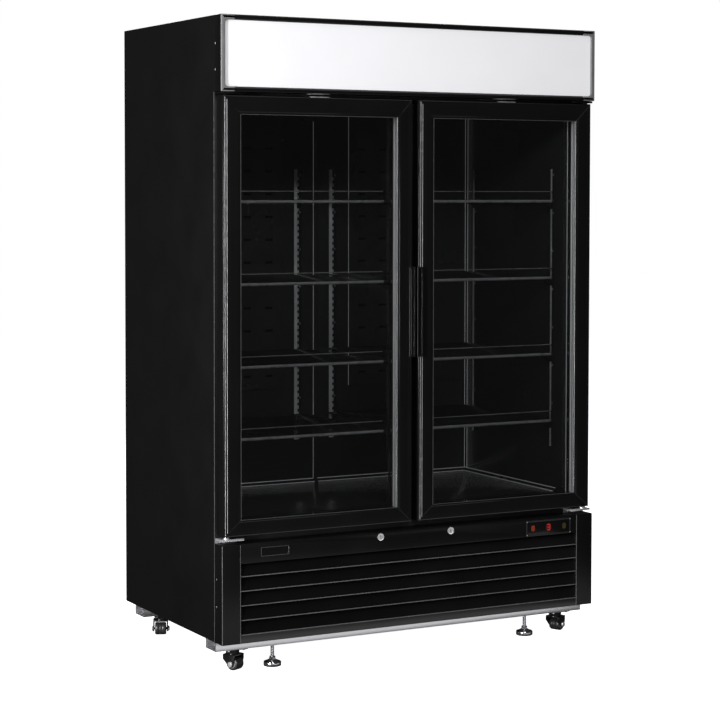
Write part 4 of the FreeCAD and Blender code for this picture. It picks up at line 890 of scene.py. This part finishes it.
def digit(mesh, x, z, start, stop):
    """A lit 3 in seven-segment style."""
    wide, tall, bar = 5 * MM, 9 * MM, 1 * MM
    for row in (-1, 0, 1):
        middle = z + row * tall
        mesh.block((x - wide, start, middle - bar), (x + wide, stop, middle + bar))
    for row in (-0.5, 0.5):
        middle = z + row * tall
        half = tall / 2 - bar * 1.4
        mesh.block((x + wide - bar, start, middle - half), (x + wide + bar, stop, middle + half))
    show(mesh, "display_digit", ROOT, "display_face", LIT_RED, soft=0.3 * MM)


def badge():
    """A blank dark plate in a bright border."""
    low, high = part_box("badge_plate")
    outer, inner = grown(front_of("badge_plate"), 0.0, 1.6 * MM)
    edge = low.y + 0.3 * MM
    section = [(0, high.y), (0, edge), (0.3, low.y), (0.8, low.y), (1, edge), (1, high.y)]
    show(mitred(Mesh(), outer, inner, section), "badge_border", ROOT, "badge", replaces=("badge_plate",))
    shape = rounded_rectangle(*inner, 0.8 * MM)
    plate = Mesh().loft(flat(shape, low.y + 0.4 * MM, high.y))
    show(plate, "badge_face", ROOT, "badge", FINISHES["door_handle"])


def lock(side):
    body = side + "_lock"
    softened(body, 0.5 * MM, body)
    turn = JOINTS[side + "_lock_turn"]
    x, _, z = turn["pos_m"]
    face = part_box(body)[0].y
    collar = Mesh()
    section = [(8, -1.2), (11.2, -1.2), (10.6, 0), (9.4, 0.3), (8.2, -0.3)]
    collar.ring(mm(section), (x, face, z), (0, -1, 0))
    show(collar, side + "_lock_collar", body, "lock_chrome")
    slot = Mesh()
    slot.block((x - 1.1 * MM, face + 0.5 * MM, z - 4.3 * MM), (x + 1.1 * MM, face + 2 * MM, z + 4.3 * MM))
    show(slot, side + "_lock_keyway", body, "lock_chrome", DARK_RUBBER, soft=0.2 * MM)


def painted_edge_highlights():
    """Rods along the folded front edges of the sheet parts and the louvres' lips, finished lighter than the
    paint as a painted highlight where the edges catch the light.
    """
    fold_highlights, lip_highlights = Mesh(), Mesh()
    low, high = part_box("base_columns")
    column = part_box("fascia_panel")[1].x
    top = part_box("canopy_shell")[0].z
    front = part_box("right_side_panel")[0].y
    r, hair = 1.3 * MM, 0.03 * MM
    for sign in (-1, 1):
        x = sign * (high.x - r)
        fold_highlights.rod((x, low.y + r, low.z + 2 * MM), (x, low.y + r, high.z - 2 * MM), r, 10)
        near, far = sorted((sign * (high.x - 1 * MM), sign * (high.x + hair)))
        fold_highlights.block((near, front - 1.6 * MM, low.z), (far, front + 1.6 * MM, top))
        x = sign * (column + r * 0.6)
        lip_highlights.rod((x, low.y + r, low.z + 2 * MM), (x, low.y + r, high.z - 2 * MM), r, 10)
    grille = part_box("louvre_grille")[0]
    blades, pitch, lip = 5, 45.25 * MM, 1.5 * MM
    for i in range(blades):
        z = grille.z + pitch * i + lip
        lip_highlights.rod((-column + 2 * MM, grille.y, z), (column - 2 * MM, grille.y, z), lip, 10)
    show(fold_highlights, "side_fold_painted_highlights", ROOT, "outer_panel", FOLD_PAINTED_HIGHLIGHT)
    show(lip_highlights, "front_fold_painted_highlights", ROOT, "front_black", EDGE_PAINTED_HIGHLIGHT)


# ---- casters and feet


def caster(name):
    fork = "fork_" + name
    roll = JOINTS["roll_" + name]
    along, centre = Vector(roll["axis"]), Vector(roll["pos_m"])
    softened("caster_fork_" + name, 1.1 * MM, fork)
    bolts = Mesh()
    for way in (-1, 1):
        head = [(0, 25.2), (8.6, 25.2), (8.6, 27.4), (7.4, 29.2), (4.4, 30.2), (0, 30.4)]
        bolts.turned(mm(head), centre, along * way, sides=32)
    show(bolts, name + "_axle_bolts", fork, "lock_chrome")
    half = [(9, 17), (10.5, 16), (15, 17.2), (17.4, 18.8), (19.6, 17.8), (20.8, 14.6), (20.8, 5)]
    half += [(20.2, 4), (20.8, 3)]
    outline = [(0, 17)] + half + [(r, -h) for r, h in reversed(half)] + [(0, -17)]
    tyre = Mesh().turned(mm(outline), centre, along, sides=56)
    show(tyre, name + "_wheel_tyre", "wheel_" + name, "caster_wheel", replaces=("caster_wheel_" + name,))
    rings = Mesh()
    for way in (-1, 1):
        section = [(9.6, 15.6), (10.2, 18.4), (12.8, 18.6), (13.6, 16.2)]
        rings.ring(mm(section), centre, along * way, sides=40)
    show(rings, name + "_wheel_hub_rings", "wheel_" + name, "caster_wheel", CHROME)


def caster_bolts():
    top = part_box("caster_plates")[1].z
    mesh, spacing = Mesh(), 27 * MM
    for name in CORNERS:
        x, y, _ = JOINTS["swivel_" + name]["pos_m"]
        for a in (-1, 1):
            for b in (-1, 1):
                at = (x + a * spacing, y + b * spacing, top - 3 * MM)
                hexagon_bolt(mesh, at, (0, 0, -1), 5 * MM, 3.6 * MM)
    show(mesh, "caster_plate_bolts", ROOT, "frame_steel", CHROME)


def foot(side):
    node = "levelling_foot_" + side
    low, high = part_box(node)
    x, y = (low.x + high.x) / 2, (low.y + high.y) / 2
    outline = [(0, 0), (25, 0), (27.4, 0.8), (28, 3), (28, 12), (27, 14), (24, 15.4)]
    outline += [(15, 18.6), (13, 20.6), (0, 20.6)]
    disc = Mesh().turned(mm(outline), (x, y, low.z), sides=64)
    show(disc, node + "_disc", "foot_" + side, "foot_chrome", replaces=(node,))
    bottom, top, crest, root, pitch, height = 20, 77, 5.9, 5.3, 1.6, 31.0
    thread = [(0, bottom), (crest, bottom)]
    while height < top - 1:
        thread += [(crest, height), (root, height + 0.7), (crest, height + 1.4)]
        height += pitch
    thread += [(4.8, top), (0, top)]
    stem = Mesh().turned(mm(thread), (x, y, low.z), sides=24)
    hexagon_bolt(stem, (x, y, low.z + 20.6 * MM), (0, 0, 1), 11 * MM, 9.4 * MM)
    show(stem, node + "_stem", "foot_" + side, "foot_chrome")


# ---- refrigeration


def fins(name, slot, low, high, count, run):
    """Upright fins between two corners, with the tubes that run through them from end to end."""
    mesh = Mesh()
    for i in range(count):
        x = low.x + (high.x - low.x) * (i + 0.5) / count
        mesh.block((x - 0.5 * MM, low.y, low.z), (x + 0.5 * MM, high.y, high.z))
    for x in (low.x, high.x - 2 * MM):
        mesh.block((x, low.y, low.z), (x + 2 * MM, high.y, high.z))
    show(mesh, name + "_fins", ROOT, slot, replaces=(name,))
    tubes = Mesh()
    rows = int((high.z - low.z) / run)
    for i in range(rows):
        z = low.z + run * (i + 0.5)
        y = low.y + (high.y - low.y) * (0.3 if i % 2 else 0.7)
        tubes.rod((low.x + 1 * MM, y, z), (high.x - 1 * MM, y, z), 4.5 * MM, 12)
    show(tubes, name + "_tubes", ROOT, slot, COPPER)


def fan(node, joint, hub, thick):
    """A five-bladed axial fan with twisted, curved blades round a domed hub."""
    low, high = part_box(node)
    centre = Vector(JOINTS[joint]["pos_m"])
    centre.y = (low.y + high.y) / 2
    radius = max(high.x - centre.x, high.z - centre.z, centre.x - low.x, centre.z - low.z)
    half = thick / 2
    mesh = Mesh()
    dome = [(0, -half), (hub * 0.7, -half), (hub * 0.96, -half * 0.6), (hub, 0), (hub, half), (0, half)]
    mesh.turned(dome, centre, (0, 1, 0), sides=40)
    for blade in range(5):
        spin = Matrix.Rotation(2 * pi * blade / 5, 3, "Y")
        loops = []
        for share in (0.0, 0.25, 0.5, 0.75, 1.0):
            reach = hub * 0.9 + (radius * 0.98 - hub * 0.9) * share
            chord = radius * (0.22 + 0.08 * share)
            lean = radians(30 - 14 * share)
            points = []
            for step in (-1, -0.5, 0, 0.5, 1, 0.5, 0, -0.5):
                skin = 0.5 * MM if len(points) < 5 else -0.5 * MM
                camber = chord * 0.12 * (1 - step * step)
                around = step * chord * cos(lean)
                depth = step * chord * sin(lean) + camber + skin
                depth = max(-half * 0.98, min(half * 0.98, depth))
                angle = around / reach
                points.append((reach * cos(angle), depth, reach * sin(angle)))
            loops.append([centre + spin @ Vector(point) for point in points])
        mesh.loft(loops)
    show(mesh, node + "_blades", node, "fan_black", replaces=(node,))


def guard(name, centre, radius, step, slot):
    """A round wire guard: rings on six spokes, its wires facing +Y."""
    mesh = Mesh()
    wire = 1.3 * MM
    reach = radius
    forward = Vector((0, 1, 0))
    while reach > step:
        loop = [Vector((reach * cos(a), 0, reach * sin(a))) for a in turns(48)]
        tracks = [(centre + p, p.cross(forward).to_track_quat("Z", "Y")) for p in loop]
        mesh.loft([circle(place, wire, track, 6) for place, track in tracks], closed=True)
        reach -= step
    for angle in turns(6):
        way = Vector((cos(angle), 0, sin(angle)))
        mesh.rod(centre + way * step * 0.6, centre + way * (radius + 3 * MM), wire, 8)
    show(mesh, name, ROOT, slot, FINISHES["fan_black"])


def turns(count):
    return [2 * pi * i / count for i in range(count)]


def shroud(low, high, start, centre, hole):
    """The box behind the condenser's coil, whose back has a round hole for the fan."""
    mesh, count, stop, thick, wall = Mesh(), 48, high.y, 2 * MM, 1.5 * MM
    wide, tall = (high.x - low.x) / 2, (high.z - low.z) / 2
    square, loop = [], []
    for i in range(count):
        angle = 2 * pi * (i + 0.5) / count
        x, z = cos(angle), sin(angle)
        scale = min(wide / max(abs(x), 1e-6), tall / max(abs(z), 1e-6))
        square.append((centre.x + x * scale, centre.z + z * scale))
        loop.append((centre.x + x * hole, centre.z + z * hole))
    mesh.loft(flat(square, stop - thick, stop) + flat(loop, stop, stop - thick), closed=True)
    mesh.block((low.x, start, high.z - wall), (high.x, stop, high.z))
    mesh.block((low.x, start, low.z), (high.x, stop, low.z + wall))
    mesh.block((low.x, start, low.z), (low.x + wall, stop, high.z))
    mesh.block((high.x - wall, start, low.z), (high.x, stop, high.z))
    show(mesh, "condenser_shroud", ROOT, "coil_fins", FINISHES["pan_steel"])


def machine():
    """The condensing unit behind the louvres."""
    low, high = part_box("condenser")
    coil_high = Vector((high.x, low.y + 46 * MM, high.z))
    fins("condenser", "coil_fins", low, coil_high, 72, 24 * MM)
    centre = Vector(JOINTS["condenser_fan_spin"]["pos_m"])
    shroud(low, high, coil_high.y, centre, 108 * MM)
    rear = Vector((centre.x, high.y, centre.z))
    guard("condenser_fan_guard", rear + Vector((0, 3 * MM, 0)), 106 * MM, 13 * MM, "coil_fins")
    shape = mm([(0, 0), (20, 0), (24, 4), (24, 30), (16, 40), (0, 40)])
    motor = Mesh().turned(shape, rear + Vector((0, 4 * MM, 0)), (0, 1, 0), sides=36)
    show(motor, "condenser_fan_motor", ROOT, "coil_fins", FINISHES["compressor_black"])
    fan("condenser_fan", "condenser_fan_spin", 26 * MM, 22 * MM)
    softened("compressor", 2 * MM)
    pipes()
    softened("control_box", 1.5 * MM)
    softened("power_inlet", 0.6 * MM)
    softened("rear_grille", 0.5 * MM)


def route(start, steps):
    """The places that lie the given steps, in millimetres, from start."""
    return [start + Vector(step) * MM for step in steps]


def pipes():
    """Copper lines between the compressor, the coil and the cold space, and the compressor's cover."""
    low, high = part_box("compressor")
    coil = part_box("condenser")[1]
    middle_x, middle_y = (low.x + high.x) / 2, (low.y + high.y) / 2
    mesh = Mesh()
    side, entry = Vector((low.x + 14 * MM, middle_y, low.z)), Vector((coil.x, coil.y, low.z))
    rise = ((0, 0, 90), (-34, 0, 90), (-44, 0, 96), (-48, 0, 110), (-48, 0, 200), (-60, -8, 214))
    mesh.bent(route(side, rise) + route(entry, ((24, -40, 220), (-2, -46, 220))), 4 * MM, 12)
    rear = Vector((middle_x, high.y, low.z))
    second = route(rear, ((0, -16, 110), (0, 26, 110), (0, 36, 118), (0, 40, 132)))
    second.append((middle_x, high.y + 40 * MM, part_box("floor_panel")[0].z))
    mesh.bent(second, 5 * MM, 12)
    show(mesh, "refrigerant_lines", ROOT, "compressor_black", COPPER)
    cover = Mesh().block(*route(Vector((high.x, middle_y, low.z)), ((-22, -26, 44), (12, 26, 96))))
    look = FINISHES["inlet_black"]
    show(cover, "compressor_terminal_cover", ROOT, "compressor_black", look, soft=3 * MM, segments=3)


def cooler():
    """The evaporator's coil, fan and cover under the ceiling."""
    low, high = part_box("evaporator_coil")
    coil_low = Vector((low.x, low.y + 70 * MM, low.z))
    fins("evaporator_coil", "coil_fins", coil_low, high, 80, 26 * MM)
    fan("evaporator_fan", "evaporator_fan_spin", 16 * MM, 22 * MM)
    centre = Vector(JOINTS["evaporator_fan_spin"]["pos_m"])
    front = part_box("evaporator_cover")[0].y
    x, z = centre.x, centre.z
    guard("evaporator_fan_guard", Vector((x, front - 2 * MM, z)), 48 * MM, 9 * MM, "cooler_cover")
    shaft = Mesh().rod((x, low.y, z), (x, coil_low.y + 2 * MM, z), 4 * MM, 16)
    shaft.rod((x, low.y + 26 * MM, z), (x, coil_low.y, z), 20 * MM, 24, tip=3 * MM)
    show(shaft, "evaporator_fan_motor", ROOT, "coil_fins", FINISHES["compressor_black"])
    softened("evaporator_cover", 0.8 * MM)


# ---- run

PANELS = {
    "left_side_panel": 1.5,
    "right_side_panel": 1.5,
    "back_panel": 1.5,
    "roof_panel": 1.5,
    "floor_panel": 1.5,
    "header_panel": 1.5,
    "centre_mullion": 1.5,
    "duct_panels": 0.5,
    "shelf_clips": 0.7,
    "canopy_shell": 1.2,
    "canopy_lamp": 0.8,
    "base_columns": 1.0,
    "fascia_panel": 0.6,
    "louvre_grille": 0.5,
    "base_pan": 0.8,
    "base_channels": 0.8,
    "lower_hinges": 0.8,
    "caster_plates": 0.7,
}


def main():
    camera()
    studio()
    for node, width in PANELS.items():
        softened(node, width * MM)
    for side, _ in SIDES:
        door(side)
        lock(side)
        foot(side)
    softened("upper_hinges", 0.8 * MM, finish_of=FINISHES["front_black"])
    hinge_screws()
    catches()
    shelves()
    standards()
    seam_cover()
    corner_trims()
    drain_bracket()
    ducts()
    liner_skins()
    fascia_seal()
    jambs()
    canopy()
    display()
    badge()
    side_screws("base_column_screws", "base_columns", (0.37, 0.646), 41 * MM, 2.8 * MM)
    painted_edge_highlights()
    for name in CORNERS:
        caster(name)
    caster_bolts()
    machine()
    cooler()
    for name, thing in frame["nodes"].items():
        if not thing.hide_render:
            thing.data.materials.clear()
            thing.data.materials.append(FINISHES[SLOT_OF[name]])


main()
